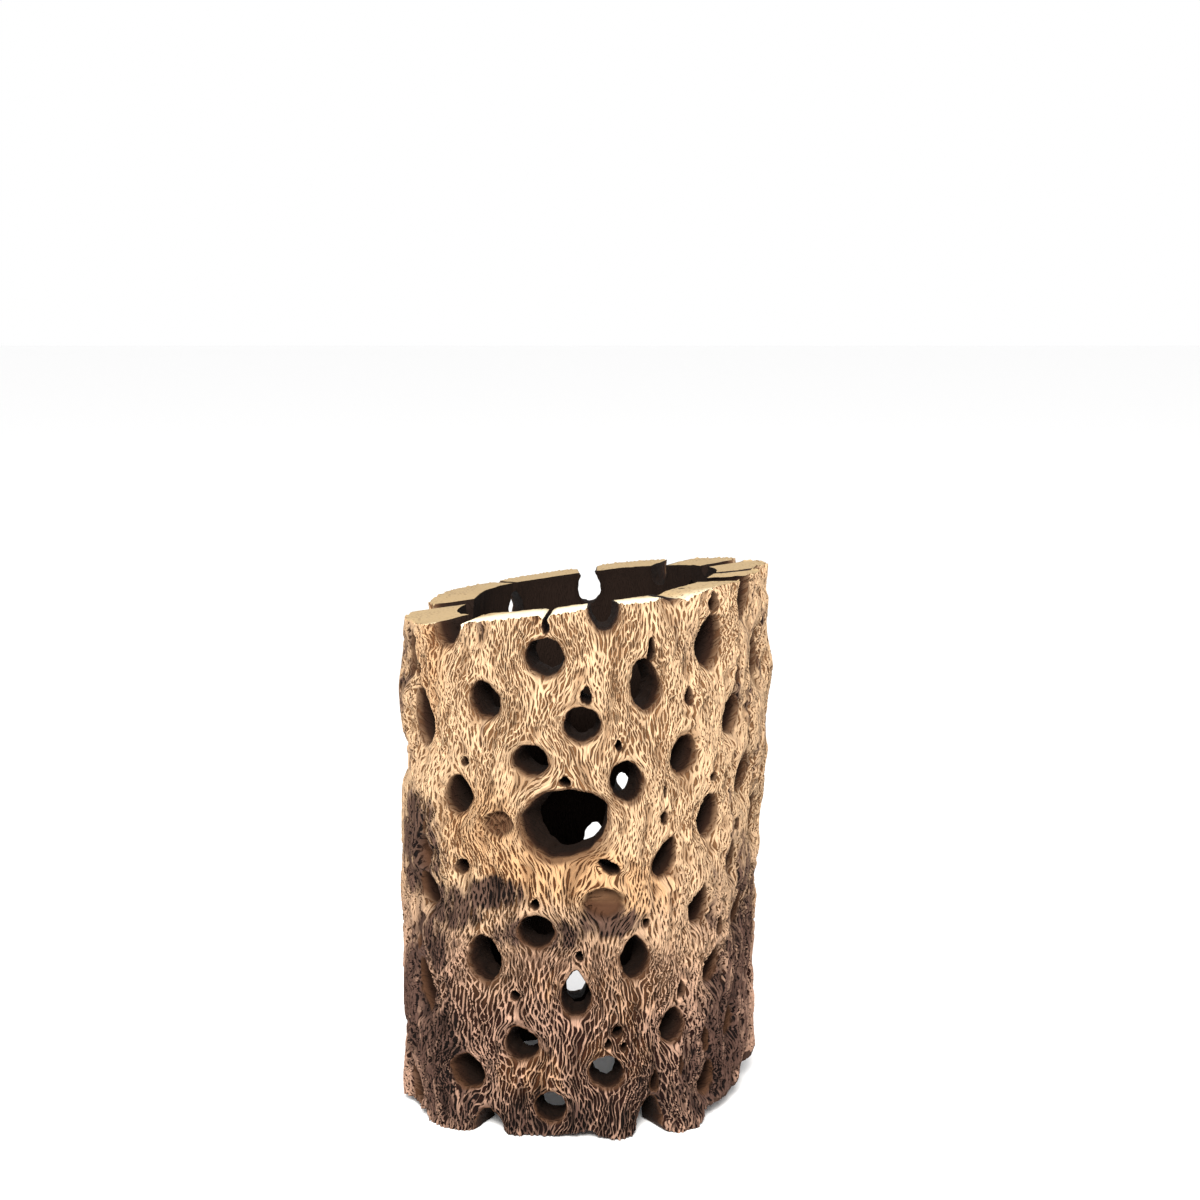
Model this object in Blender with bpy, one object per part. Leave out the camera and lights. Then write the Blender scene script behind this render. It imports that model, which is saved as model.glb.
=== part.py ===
"""A sawn length of cholla cactus skeleton: the hollow, windowed woody cylinder that is left
when the flesh of the stem has weathered away.

The skin of the wood is laid out flat, one sheet of strands as wide as the stem is round. A
slit is opened at every window and the strands are pushed aside to flow round it, as the grain
does. The sheet is then rolled into the stem's lobed section, thickened inwards, cleared of its
pith and sawn off at both ends.
"""

import math
import random
from dataclasses import dataclass

import bmesh
import bpy
import numpy as np

MM = 0.001
SEED = 56

# The stem: its height on the axis, its mean radius and the lobes that make it out of round.
# A lobe is (how many there are round the stem, their share of the radius, where one points).
HEIGHT = 100 * MM
MEAN_RADIUS = 36 * MM
LOBES = ((2, 0.036, 60), (3, 0.022, -10), (4, 0.032, 38), (5, 0.017, -3))
WALL = 10 * MM
SECTION_SAMPLES = 1440
NORMAL_REACH = 2 * MM

# The saw cuts: the top one rises to the right, the bottom one is level, with a worn heel.
TOP_SLOPE_X = 0.121
TOP_SLOPE_Y = -0.021
HEEL_START_X = 21 * MM
HEEL_SLOPE = 0.45

# The windows climb the stem in one spiral, each a golden angle further round than the last.
GOLDEN_TURN = 137.508 / 360
FIRST_TURN = 0.346
WINDOW_RISE = 0.947 * MM
FIRST_RISE = 6.85 * MM
SPIRAL_LEAN_X = -0.041
SPIRAL_LEAN_Y = 0.015
FIRST_WINDOW = -14
LAST_WINDOW = 112
WINDOW_WIDTH = 6.7 * MM
WINDOW_HEIGHT = 7.6 * MM
WIDTH_RANGE = (0.88, 1.08)
HEIGHT_RANGE = (0.85, 1.25)

# Windows of the front, and those of the back that light is seen through, as (number: along,
# up, width, height) in millimetres. Along and up are how far the window has strayed from its
# place in the spiral. Every other window has the usual size, a little varied.
SEEN_WINDOWS = {
    -4: (-1.0, 1.5, 5.5, 8.5), 1: (-0.3, -1.7, 6.3, 6.5), 4: (1.0, -0.6, 7.0, 6.2),
    6: (3.6, -1.2, 7.5, 7.0), 9: (-2.1, -1.8, 7.0, 6.5), 12: (-1.5, 0.6, 6.0, 6.0),
    14: (1.8, -2.3, 6.7, 6.9), 17: (-0.5, -1.0, 6.0, 7.2), 19: (1.0, 1.7, 6.0, 9.8),
    22: (-0.3, 0.6, 6.0, 9.4), 25: (-1.5, 1.5, 6.5, 7.0), 27: (2.4, 1.4, 6.8, 9.6),
    30: (-1.2, 0.5, 6.3, 8.8), 33: (-2.5, 2.8, 6.0, 7.0), 35: (0.0, 0.0, 7.3, 6.5),
    38: (1.2, 1.7, 6.0, 7.5), 40: (-3.0, 0.7, 6.5, 6.2), 46: (0.0, 1.3, 6.2, 6.7),
    51: (0.5, -0.6, 5.0, 7.6), 56: (0.6, 1.1, 16.9, 13.2),
    59: (-0.8, -1.2, 7.0, 8.0), 61: (-0.3, 0.0, 6.5, 7.4), 64: (0.0, 1.9, 6.6, 8.2),
    67: (0.0, -2.3, 6.8, 8.2), 69: (1.9, 0.2, 7.0, 6.2), 72: (0.0, -1.1, 6.0, 7.8),
    74: (-2.0, 1.2, 6.2, 11.0), 77: (-0.9, 0.0, 7.5, 6.7), 80: (1.5, -2.6, 6.8, 7.3),
    82: (0.8, -1.4, 6.4, 7.1), 85: (-1.2, 0.3, 6.5, 9.8), 90: (0.0, 0.0, 7.2, 7.5),
    93: (1.8, 0.0, 7.6, 10.0), 98: (-1.5, 2.0, 6.0, 9.0), 101: (1.5, 0.0, 7.2, 9.0),
    5: (2.2, -0.5, 6.0, 7.5), 39: (0.8, -0.8, 6.6, 8.6), 47: (1.5, 2.5, 6.0, 7.6),
    52: (0.8, -1.5, 5.5, 6.5), 60: (0.5, -1.5, 6.0, 6.5), 81: (-2.5, 2.5, 5.9, 7.8),
}
# Three windows of the front never opened: they are shallow pits, (along, up, width, height).
FRONT_PITS = {43: (0.3, -1.2, 8.0, 5.8), 48: (0.6, 7.6, 6.2, 5.0), 53: (5.0, -5.0, 5.0, 6.5)}
PIT_DEPTH = 2.4 * MM

# A window's mouth sits in a funnel, deepest on the lower lip, and narrows on its way in.
FUNNEL_DEPTH = 1.3 * MM
FUNNEL_REACH = 0.55
LOWER_LIP = 0.45
TUNNEL_TAPER = 0.86

# A window opens from a slit between two strands. FLOW_FADE is how far from its mouth the
# strands still bend, and DRAW_REACH how far rows and columns are drawn over to meet it.
FLOW_FADE = 7 * MM
FLOW_HALVINGS = 40
HAIR = 1e-9
DRAW_REACH = 6 * MM
DRAW_CORE = 1.45
SLIT_SHARE = 1.2
SLIT_ROWS = 4

# The raised net, larger than life: strands that meet and part round lens-shaped hollows.
STRANDS = 40
COLUMNS = 2 * STRANDS
ROW_HEIGHT = 2.6 * MM
CREST_HEIGHT = 0.45 * MM
HOLLOW_DEPTH = 1.0 * MM
STRAND_SWAY = 0.5 * MM
JITTER = 0.16 * MM
NET_CLEAR_OF_MOUTH = 0.35

# The sheet runs past both saw cuts, and the solid is thicker than the wall before it is bored.
SHEET_FOOT = -4 * ROW_HEIGHT
SHEET_ROWS = 50
SOLID_DEPTH = 13 * MM
PITH_SIDES = 24
CUTTER_SIZE = 200 * MM

WOOD_COLOUR = (0.47, 0.31, 0.2, 1.0)
WOOD_ROUGHNESS = 0.85


@dataclass(frozen=True)
class Window:
    """One window or pit: its centre on the flat sheet and half its width and height."""

    along: float
    up: float
    half_width: float
    half_height: float
    through: bool


class Section:
    """The stem's lobed outline, read by distance along it instead of by angle."""

    def __init__(self):
        angles = np.linspace(0, 2 * math.pi, SECTION_SAMPLES + 1)
        radii = np.ones_like(angles)
        for count, share, pointing in LOBES:
            radii += share * np.cos(count * (angles - math.radians(pointing)))
        self.x = MEAN_RADIUS * radii * np.cos(angles)
        self.y = MEAN_RADIUS * radii * np.sin(angles)
        steps = np.hypot(np.diff(self.x), np.diff(self.y))
        self.along = np.concatenate([[0], np.cumsum(steps)])
        self.length = float(self.along[-1])

    def point(self, along):
        """The outline's point at this distance along it."""
        wrapped = np.mod(along, self.length)
        return np.interp(wrapped, self.along, self.x), np.interp(wrapped, self.along, self.y)

    def normal(self, along):
        """The outward normal there, smoothed over a strand's width."""
        ahead_x, ahead_y = self.point(along + NORMAL_REACH)
        behind_x, behind_y = self.point(along - NORMAL_REACH)
        across, forward = ahead_y - behind_y, behind_x - ahead_x
        length = np.hypot(across, forward)
        return across / length, forward / length


def lay_out_windows(section, draw):
    """The windows and pits on the flat sheet, placed by the spiral."""
    windows = []
    for number in range(FIRST_WINDOW, LAST_WINDOW + 1):
        along = (FIRST_TURN + number * GOLDEN_TURN) % 1 * section.length
        x, y = section.point(along)
        up = FIRST_RISE + number * WINDOW_RISE + SPIRAL_LEAN_X * x + SPIRAL_LEAN_Y * y
        top = HEIGHT + TOP_SLOPE_X * x + TOP_SLOPE_Y * y
        width = WINDOW_WIDTH * draw.uniform(*WIDTH_RANGE)
        height = WINDOW_HEIGHT * draw.uniform(*HEIGHT_RANGE)
        seen = SEEN_WINDOWS.get(number) or FRONT_PITS.get(number)
        if seen:
            along += seen[0] * MM
            up += seen[1] * MM
            width, height = seen[2] * MM, seen[3] * MM
        if -height / 2 < up < top + height / 2:
            windows.append(Window(along, float(up), width / 2, height / 2, number not in FRONT_PITS))
    return windows


def wrapped(distance, section):
    """A distance along the sheet as the shorter way round the stem."""
    return np.mod(distance + section.length / 2, section.length) - section.length / 2


def ease(share):
    """A smooth step from 0 to 1."""
    share = np.clip(share, 0, 1)
    return share * share * (3 - 2 * share)


def slide_aside(across, above, half_width):
    """How far strands move sideways to flow round a window, as water flows round a post.

    across and above are measured from the window's centre, above scaled so that the mouth is
    a circle of half_width. No two strands ever cross.
    """
    distance = np.abs(across)
    low = np.sqrt(np.maximum(half_width**2 - above**2, 0))
    high = distance + half_width
    for _ in range(FLOW_HALVINGS):
        middle = (low + high) / 2
        flow = middle * (1 - half_width**2 / np.maximum(middle**2 + above**2, HAIR**2))
        short = flow < distance
        low = np.where(short, middle, low)
        high = np.where(short, high, middle)
    clear = np.maximum(np.hypot(low, above) - half_width, 0)
    return np.sign(across) * (low - distance) * np.exp(-((clear / FLOW_FADE) ** 2) / 2)


class Skin:
    """The flat sheet of strands, as rows and columns of points, while its windows are opened.

    along[layer, side] is how far round each point lies. Layer 0 is the outside and layer 1 the
    inside, where the mouths are narrower. A point on a slit has a left and a right side, and
    any other point has the same place on both. up is the same for all four.
    """

    def __init__(self, section):
        self.section = section
        columns = np.arange(COLUMNS) * section.length / COLUMNS
        rows = SHEET_FOOT + np.arange(SHEET_ROWS + 1) * ROW_HEIGHT
        self.up, flat = np.meshgrid(rows, columns, indexing="ij")
        self.along = np.array([[flat, flat], [flat, flat]])
        self.taken = np.zeros(flat.shape, dtype=bool)
        self.slits = []

    def across(self, layer, side, window):
        """How far right of the window's centre every point lies."""
        return wrapped(self.along[layer, side] - window.along, self.section)

    def find_slit(self, window):
        """The free column and the rows that come nearest to the window."""
        mouth = window.half_width + window.half_height
        count = max(SLIT_ROWS, round(SLIT_SHARE * mouth / ROW_HEIGHT))
        middle = np.abs(self.up - window.up).argmin(axis=0)
        every = np.arange(COLUMNS)
        distance = np.abs(self.across(0, 0, window)[middle, every])
        for column in np.argsort(distance + np.where(every % 2 == 1, 0, self.section.length)):
            lowest = np.interp(window.up, self.up[:, column], np.arange(SHEET_ROWS + 1)) - count / 2
            lowest = int(np.clip(round(float(lowest)), 1, SHEET_ROWS - 1 - count))
            if not self.taken[lowest : lowest + count + 1, column].any():
                return int(column), lowest, lowest + count
        raise ValueError("no free column for a window")

    def draw_over(self, window, column, lowest, highest):
        """Draws rows and columns over until the slit runs exactly up the window's middle."""
        foot, head = self.up[lowest, column], self.up[highest, column]
        stops = (foot - DRAW_REACH, foot, head, head + DRAW_REACH)
        lifts = (0, window.up - window.half_height - foot, window.up + window.half_height - head, 0)
        near = ease(DRAW_CORE - np.abs(self.across(0, 0, window)) / DRAW_REACH)
        slit_up = self.up[:, column].copy()
        for layer in (0, 1):
            miss = -self.across(layer, 0, window)[:, column]
            inside = (slit_up >= foot) & (slit_up <= head)
            ends = np.interp(slit_up, stops, (0, miss[lowest], miss[highest], 0))
            pull = np.where(inside, miss, ends)[:, None]
            for side in (0, 1):
                reach = ease(DRAW_CORE - np.abs(self.across(layer, side, window) + pull) / DRAW_REACH)
                reach[:, column] = 1
                self.along[layer, side] += reach * pull
        self.up += near * np.interp(self.up, stops, lifts)

    def open(self, window):
        """Opens the window: slits the sheet, and slides the strands aside."""
        column, lowest, highest = self.find_slit(window)
        self.draw_over(window, column, lowest, highest)
        self.taken[lowest : highest + 1, column] = True
        for layer, narrowing in enumerate((1, TUNNEL_TAPER)):
            half_width = window.half_width * narrowing
            above = (self.up - window.up) * half_width / window.half_height
            for side, hair in enumerate((-HAIR, HAIR)):
                across = self.across(layer, side, window)
                across[lowest : highest + 1, column] = 0
                across[lowest + 1 : highest, column] = hair
                self.along[layer, side] += slide_aside(across, above, half_width)
        self.slits.append((window, column, lowest, highest))

    def relief(self, side, windows):
        """How far out of the section every outside point stands, and its sideways sway."""
        along, up = self.along[0, side], self.up
        sink, mouth = np.zeros_like(up), np.zeros_like(up)
        for window in windows:
            across = self.across(0, side, window)
            above = (up - window.up) * window.half_width / window.half_height
            rim = np.maximum(np.hypot(across, above) / window.half_width - 1, 0)
            lip = 1 + LOWER_LIP * np.clip(-above / window.half_width, -1, 1)
            depth = FUNNEL_DEPTH * lip if window.through else PIT_DEPTH
            sink = np.maximum(sink, depth * np.exp(-((rim / FUNNEL_REACH) ** 2)))
            mouth = np.maximum(mouth, np.exp(-((rim / NET_CLEAR_OF_MOUTH) ** 2)))
        gap = wrapped(np.roll(self.along[0, 0], -1, axis=1) - self.along[0, 1], self.section)
        room = np.clip(np.minimum(gap, np.roll(gap, 1, axis=1)) * COLUMNS / self.section.length, 0, 1)
        strays = np.random.default_rng(SEED).uniform(-1, 1, (2,) + up.shape)
        row, column = np.indices(up.shape)
        crest = column % 2 == 0
        parting = np.cos(math.pi * (row + column // 2))
        net = np.where(crest, CREST_HEIGHT, -HOLLOW_DEPTH * (1 + parting) / 2) + JITTER * strays[0]
        sway = np.where(crest, STRAND_SWAY * parting, 0) + JITTER * strays[1]
        return net * (1 - mouth) * room - sink, sway * (1 - mouth) * room

    def places(self, windows):
        """The rolled-up place of every point, by layer and side."""
        found = np.zeros((2, 2) + self.up.shape + (3,))
        for side in (0, 1):
            relief, sway = self.relief(side, windows)
            for layer, out in enumerate((relief, -SOLID_DEPTH)):
                along = self.along[layer, side] + (sway if layer == 0 else 0)
                x, y = self.section.point(along)
                out_x, out_y = self.section.normal(along)
                spots = (x + out_x * out, y + out_y * out, self.up)
                found[layer, side] = np.stack(spots, axis=-1)
        return found


def slit_sheet(skin):
    """A flat sheet in Blender with the skin's slits cut in it.

    Each point keeps its column and row and the side of the slit that it is on, because its
    place is worked out from them later.
    """
    sheet = bmesh.new()
    bmesh.ops.create_grid(sheet, x_segments=COLUMNS, y_segments=SHEET_ROWS, size=0.5)
    for point in sheet.verts:
        point.co = (round((point.co.x + 0.5) * COLUMNS), round((point.co.y + 0.5) * SHEET_ROWS), 0)
    slit_edges = set()
    for _, column, lowest, highest in skin.slits:
        slit_edges |= {(column, row) for row in range(lowest, highest)}
    cut = []
    for edge in sheet.edges:
        first, second = (point.co for point in edge.verts)
        if first.x == second.x and (int(first.x), int(min(first.y, second.y))) in slit_edges:
            cut.append(edge)
    bmesh.ops.split_edges(sheet, edges=cut)
    spots = sheet.verts.layers.float_vector.new("column_row_side")
    for point in sheet.verts:
        sides = {face.calc_center_median().x > point.co.x for face in point.link_faces}
        right = 1 if sides == {True} else 0
        point[spots] = (point.co.x, point.co.y, right)
    return sheet


def join_seam(sheet):
    """Makes the sheet a tube: its last column of points becomes its first."""
    first = {round(point.co.y): point for point in sheet.verts if point.co.x == 0}
    last = [point for point in sheet.verts if point.co.x == COLUMNS]
    bmesh.ops.weld_verts(sheet, targetmap={point: first[round(point.co.y)] for point in last})


def thicken(sheet, places):
    """Makes the tube a solid, with a second layer behind it, and puts every point in place."""
    made = bmesh.ops.extrude_face_region(sheet, geom=list(sheet.faces), use_keep_orig=True)
    behind = {item for item in made["geom"] if isinstance(item, bmesh.types.BMVert)}
    spots = sheet.verts.layers.float_vector["column_row_side"]
    for point in sheet.verts:
        column, row, side = (round(value) for value in point[spots])
        layer = 1 if point in behind else 0
        point.co = places[layer, side, row, column % COLUMNS]
    bmesh.ops.recalc_face_normals(sheet, faces=sheet.faces)


def new_object(name, shape, collection):
    """Puts a mesh, or the bmesh that it is made from, in the collection."""
    mesh = bpy.data.meshes.new(name)
    shape.to_mesh(mesh)
    shape.free()
    obj = bpy.data.objects.new(name, mesh)
    collection.objects.link(obj)
    return obj


def make_cutter(name, shape, cutters):
    """A hidden object that the wood is cut with."""
    cutter = new_object(name, shape, cutters)
    cutter.hide_render = True
    cutter.display_type = "WIRE"
    return cutter


def pith_core(section, cutters):
    """The round of pith that the weather has taken out, the stem's section drawn in by the wall."""
    core = bmesh.new()
    bmesh.ops.create_cone(
        core, cap_ends=True, segments=PITH_SIDES, radius1=1, radius2=1, depth=CUTTER_SIZE
    )
    for point in core.verts:
        share = math.atan2(point.co.y, point.co.x) / (2 * math.pi)
        along = share * section.length
        x, y = section.point(along)
        out_x, out_y = section.normal(along)
        point.co.x = x - WALL * out_x
        point.co.y = y - WALL * out_y
    return make_cutter("pith_core", core, cutters)


def saw_cut(name, side, slope_x, slope_y, at_x, level, cutters):
    """A block whose face is the saw's plane: side is 1 above the plane and -1 below it."""
    block = bmesh.new()
    bmesh.ops.create_cube(block, size=CUTTER_SIZE)
    for point in block.verts:
        point.co.z += side * CUTTER_SIZE / 2
        if abs(point.co.z) < CUTTER_SIZE / 2:
            point.co.z = level + slope_x * (point.co.x - at_x) + slope_y * point.co.y
    return make_cutter(name, block, cutters)


def wood_material():
    """Weathered wood."""
    material = bpy.data.materials.new("weathered_wood")
    material.use_nodes = True
    shader = material.node_tree.nodes["Principled BSDF"]
    shader.inputs["Base Color"].default_value = WOOD_COLOUR
    shader.inputs["Roughness"].default_value = WOOD_ROUGHNESS
    shader.inputs["Metallic"].default_value = 0.0
    return material


def cut_away(obj, cutters):
    """Takes each cutter out of the object."""
    for cutter in cutters:
        modifier = obj.modifiers.new(cutter.name, "BOOLEAN")
        modifier.operation = "DIFFERENCE"
        modifier.solver = "MANIFOLD"
        modifier.object = cutter


def stand_on_origin(obj):
    """Makes the cuts real and moves the wood to stand centred over the origin."""
    graph = bpy.context.evaluated_depsgraph_get()
    mesh = bpy.data.meshes.new_from_object(obj.evaluated_get(graph))
    obj.modifiers.clear()
    obj.data = mesh
    points = np.empty(len(mesh.vertices) * 3)
    mesh.vertices.foreach_get("co", points)
    points = points.reshape(-1, 3)
    low, high = points.min(axis=0), points.max(axis=0)
    points -= ((low[0] + high[0]) / 2, (low[1] + high[1]) / 2, low[2])
    mesh.vertices.foreach_set("co", points.ravel())
    mesh.update()


def main():
    for obj in list(bpy.data.objects):
        bpy.data.objects.remove(obj)
    scene = bpy.context.scene
    parts = bpy.data.collections.new("cholla_skeleton")
    cutters = bpy.data.collections.new("cutters")
    scene.collection.children.link(parts)
    scene.collection.children.link(cutters)

    draw = random.Random(SEED)
    section = Section()
    windows = lay_out_windows(section, draw)
    skin = Skin(section)
    for window in sorted(windows, key=lambda one: -one.half_width):
        if window.through:
            skin.open(window)
    sheet = slit_sheet(skin)
    join_seam(sheet)
    thicken(sheet, skin.places(windows))
    skeleton = new_object("cholla_skeleton", sheet, parts)
    skeleton.data.materials.append(wood_material())

    cut_away(skeleton, [
        pith_core(section, cutters),
        saw_cut("top_saw_cut", 1, TOP_SLOPE_X, TOP_SLOPE_Y, 0, HEIGHT, cutters),
        saw_cut("bottom_saw_cut", -1, 0, 0, 0, 0, cutters),
        saw_cut("worn_heel", -1, HEEL_SLOPE, 0, HEEL_START_X, 0, cutters),
    ])
    bpy.context.view_layer.update()
    stand_on_origin(skeleton)


main()
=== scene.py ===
"""The looks of a cholla cactus skeleton: a sawn length of hollow, windowed, netted wood.

The wall is worked out on a flat sheet, as wide as the stem is round. Windows and pores are cut
out of a fine grid along their exact outlines, every rim is led in through the wall as a tunnel,
and the sheet is rolled into the stem's lobed section. A Geometry Nodes tree then raises the net
of strands, which follows the grain round each window.
"""

from __future__ import annotations

import logging
import math
import random
from dataclasses import dataclass
from enum import Enum
from typing import Any

import bpy
import numpy as np
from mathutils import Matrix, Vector
from mathutils.geometry import delaunay_2d_cdt

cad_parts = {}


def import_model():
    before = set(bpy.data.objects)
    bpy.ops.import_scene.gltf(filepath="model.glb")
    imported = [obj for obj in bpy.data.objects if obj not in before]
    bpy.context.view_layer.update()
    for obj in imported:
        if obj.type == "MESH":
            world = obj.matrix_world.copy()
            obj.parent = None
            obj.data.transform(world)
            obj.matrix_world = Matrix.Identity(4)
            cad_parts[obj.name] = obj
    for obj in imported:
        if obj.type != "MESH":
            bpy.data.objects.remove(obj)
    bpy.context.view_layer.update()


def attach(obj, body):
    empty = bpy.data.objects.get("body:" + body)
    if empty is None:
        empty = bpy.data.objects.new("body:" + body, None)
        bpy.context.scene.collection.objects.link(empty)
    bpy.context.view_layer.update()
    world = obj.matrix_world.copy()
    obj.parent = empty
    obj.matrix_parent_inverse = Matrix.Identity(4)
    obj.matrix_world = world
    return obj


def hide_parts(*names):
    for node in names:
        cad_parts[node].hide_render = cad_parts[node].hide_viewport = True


MM = 0.001
SEED = 56
NODE = "cholla_skeleton"
PHOTO_SIDE = 1200
GRAIN_REACH = 12 * MM

log = logging.getLogger("cholla_skeleton")


def ease(share: np.ndarray) -> np.ndarray:
    """A smooth step from 0 to 1."""
    share = np.clip(share, 0, 1)
    return share * share * (3 - 2 * share)


def linear(red: int, green: int, blue: int) -> tuple[float, float, float, float]:
    """The colour that a shader takes for 8-bit screen values."""
    channels = [value / 255 for value in (red, green, blue)]
    made = [c / 12.92 if c <= 0.04045 else ((c + 0.055) / 1.055) ** 2.4 for c in channels]
    return made[0], made[1], made[2], 1.0


class OpeningKind(Enum):
    """What the plant left at a place on the stem."""

    WINDOW = "window"
    PORE = "pore"
    PIT = "pit"


@dataclass(frozen=True)
class Opening:
    """One window, pore or pit on the flat sheet.

    pointed draws the top of its outline in, and tilt turns it clockwise, in degrees. lean is how
    far along the sheet its tunnel has moved by the time that it reaches the bore.
    """

    kind: OpeningKind
    along: float
    up: float
    half_width: float
    half_height: float
    pointed: float = 0.0
    tilt: float = 0.0
    ragged: float = 0.04
    lean: float = 0.0

    @property
    def reach(self) -> float:
        """How far from its centre the grain still bends."""
        return max(self.half_width, self.half_height) + GRAIN_REACH


@dataclass
class StemShape:
    """The stem's lobed section, read by distance along it, with its wall and saw cuts."""

    height: float = 100 * MM
    mean_radius: float = 36 * MM
    lobes: tuple[tuple[int, float, float], ...] = (
        (2, 0.036, 60), (3, 0.022, -10), (4, 0.032, 38), (5, 0.017, -3),
    )
    wall: float = 10 * MM
    top_slope_x: float = 0.121
    top_slope_y: float = -0.021
    heel_start_x: float = 21 * MM
    heel_slope: float = 0.45
    centre: tuple[float, float] = (0.5165 * MM, 0.3745 * MM)
    samples: int = 2880
    step_fade: float = 0.7
    normal_reach: float = 2 * MM

    def __post_init__(self) -> None:
        """Traces the section once."""
        angles = np.linspace(0, 2 * math.pi, self.samples + 1)
        radii = np.ones_like(angles)
        for count, share, pointing in self.lobes:
            radii += share * np.cos(count * (angles - math.radians(pointing)))
        self.trace_x = self.mean_radius * radii * np.cos(angles)
        self.trace_y = self.mean_radius * radii * np.sin(angles)
        steps = np.hypot(np.diff(self.trace_x), np.diff(self.trace_y))
        self.trace = np.concatenate([[0], np.cumsum(steps)])
        self.length = float(self.trace[-1])

    def point(self, along: np.ndarray) -> tuple[np.ndarray, np.ndarray]:
        """The section's point at this distance along it, from the stem's own axis."""
        turned = np.mod(along, self.length)
        return np.interp(turned, self.trace, self.trace_x), np.interp(turned, self.trace, self.trace_y)

    def normal(self, along: np.ndarray) -> tuple[np.ndarray, np.ndarray]:
        """The outward normal there, smoothed over a strand's width."""
        ahead_x, ahead_y = self.point(along + self.normal_reach)
        behind_x, behind_y = self.point(along - self.normal_reach)
        across, forward = ahead_y - behind_y, behind_x - ahead_x
        length = np.hypot(across, forward)
        return across / length, forward / length

    def wrap(self, distance: np.ndarray) -> np.ndarray:
        """A distance along the sheet as the shorter way round the stem."""
        return np.mod(distance + self.length / 2, self.length) - self.length / 2

    def top(self, along: np.ndarray, depth: np.ndarray | float = 0.0) -> np.ndarray:
        """How high the top saw cut is, at a depth under the surface."""
        x, y = self.point(along)
        out_x, out_y = self.normal(along)
        rise_x = self.top_slope_x * (x - out_x * depth)
        rise_y = self.top_slope_y * (y - out_y * depth)
        return self.height + rise_x + rise_y + self._steps(TOP_STEPS, along, depth)

    def foot(self, along: np.ndarray, depth: np.ndarray | float = 0.0) -> np.ndarray:
        """How high the worn foot is, at a depth under the surface."""
        x, _ = self.point(along)
        out_x, _ = self.normal(along)
        heel = np.maximum(self.heel_slope * (x - out_x * depth - self.heel_start_x), 0)
        return heel + self._steps(FOOT_STEPS, along, depth)

    def _steps(
        self, steps: tuple[tuple[float, float], ...], along: np.ndarray, depth: np.ndarray | float
    ) -> np.ndarray:
        """How far a saw cut strays from its plane, which evens out on the way in."""
        knots = np.array(steps)
        turned = np.mod(along, self.length) / MM
        stray = np.interp(turned, knots[:, 0], knots[:, 1], period=self.length / MM) * MM
        return stray * (1 - self.step_fade * np.clip(np.asarray(depth) / self.wall, 0, 1))

    def place(self, along: np.ndarray, up: np.ndarray, depth: np.ndarray) -> np.ndarray:
        """The rolled-up place of flat points, in the part's own frame."""
        x, y = self.point(along)
        out_x, out_y = self.normal(along)
        return np.stack(
            (x - out_x * depth - self.centre[0], y - out_y * depth - self.centre[1], up + 0 * x), axis=-1
        )


# How far the top saw cut strays from its plane, as (along, up) in millimetres.
TOP_STEPS = (
    (10, 0.0), (30, -0.3), (50, 0.1), (75, -0.2), (100, 0.0), (112, -0.8), (118, 0.0), (136, -0.3),
    (147.5, -0.2), (148.6, -1.5), (149.4, -0.1), (157, 0.0), (163.9, 0.1), (164.7, -1.0), (165.6, -0.9),
    (166.4, 0.0), (173, 0.1), (181, 0.2), (190, -0.1), (191, -0.6), (193.5, -1.2), (195.2, -0.3),
    (197, 0.1), (204, 0.3), (209, -0.2), (213, 0.0), (220, 0.3),
)

# How far the foot is worn up beyond the heel, as (along, up) in millimetres.
FOOT_STEPS = (
    (20, 0.3), (40, 0.0), (60, 0.4), (80, 0.0), (100, 0.4), (120, 0.7), (129, 1.8), (133.8, 1.4),
    (138.6, 2.2), (139.4, 0.3), (143, 0.0), (152, 0.2), (158, 0.4), (164, 0.4), (168.3, 0.9), (171, 1.5),
    (173.3, 2.3), (175.2, 0.9), (179, 0.2), (182, 0.6), (183, 2.1), (183.8, 4.0), (184.6, 5.7),
    (185.2, 6.4), (186, 5.3), (187.3, 3.2), (188.8, 0.5), (191.2, 0.0), (196.9, 0.0), (197.6, 0.3),
    (198.3, 2.1), (200.4, 2.0), (205.5, 0.5), (211.8, 0.0), (214.4, 0.2),
    (215.4, 2.7), (218.8, 1.6), (226, 0.4),
)

# Where the outside stands out of the lobed section or back from it, as (along, up, half width,
# half height, how far out) in millimetres.
BULGES = (
    (130, 34, 16, 46, 1.0), (131, 79, 9, 8, 0.9), (225, 16, 24, 36, -2.2), (224, 78, 9, 9, 0.9),
    (214, 62, 8, 10, -0.5), (150, 20, 6, 22, 0.5), (171, 8, 8, 10, 0.4), (193, 6, 5, 12, 0.5),
    (160, 86, 6, 12, 0.5), (181, 90, 6, 12, 0.5), (173, 46, 14, 5, 0.5),
    (60, 50, 14, 30, 0.9), (95, 30, 10, 24, -0.9),
    (20, 60, 12, 22, -0.8), (40, 88, 10, 10, 0.7),
)

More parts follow.
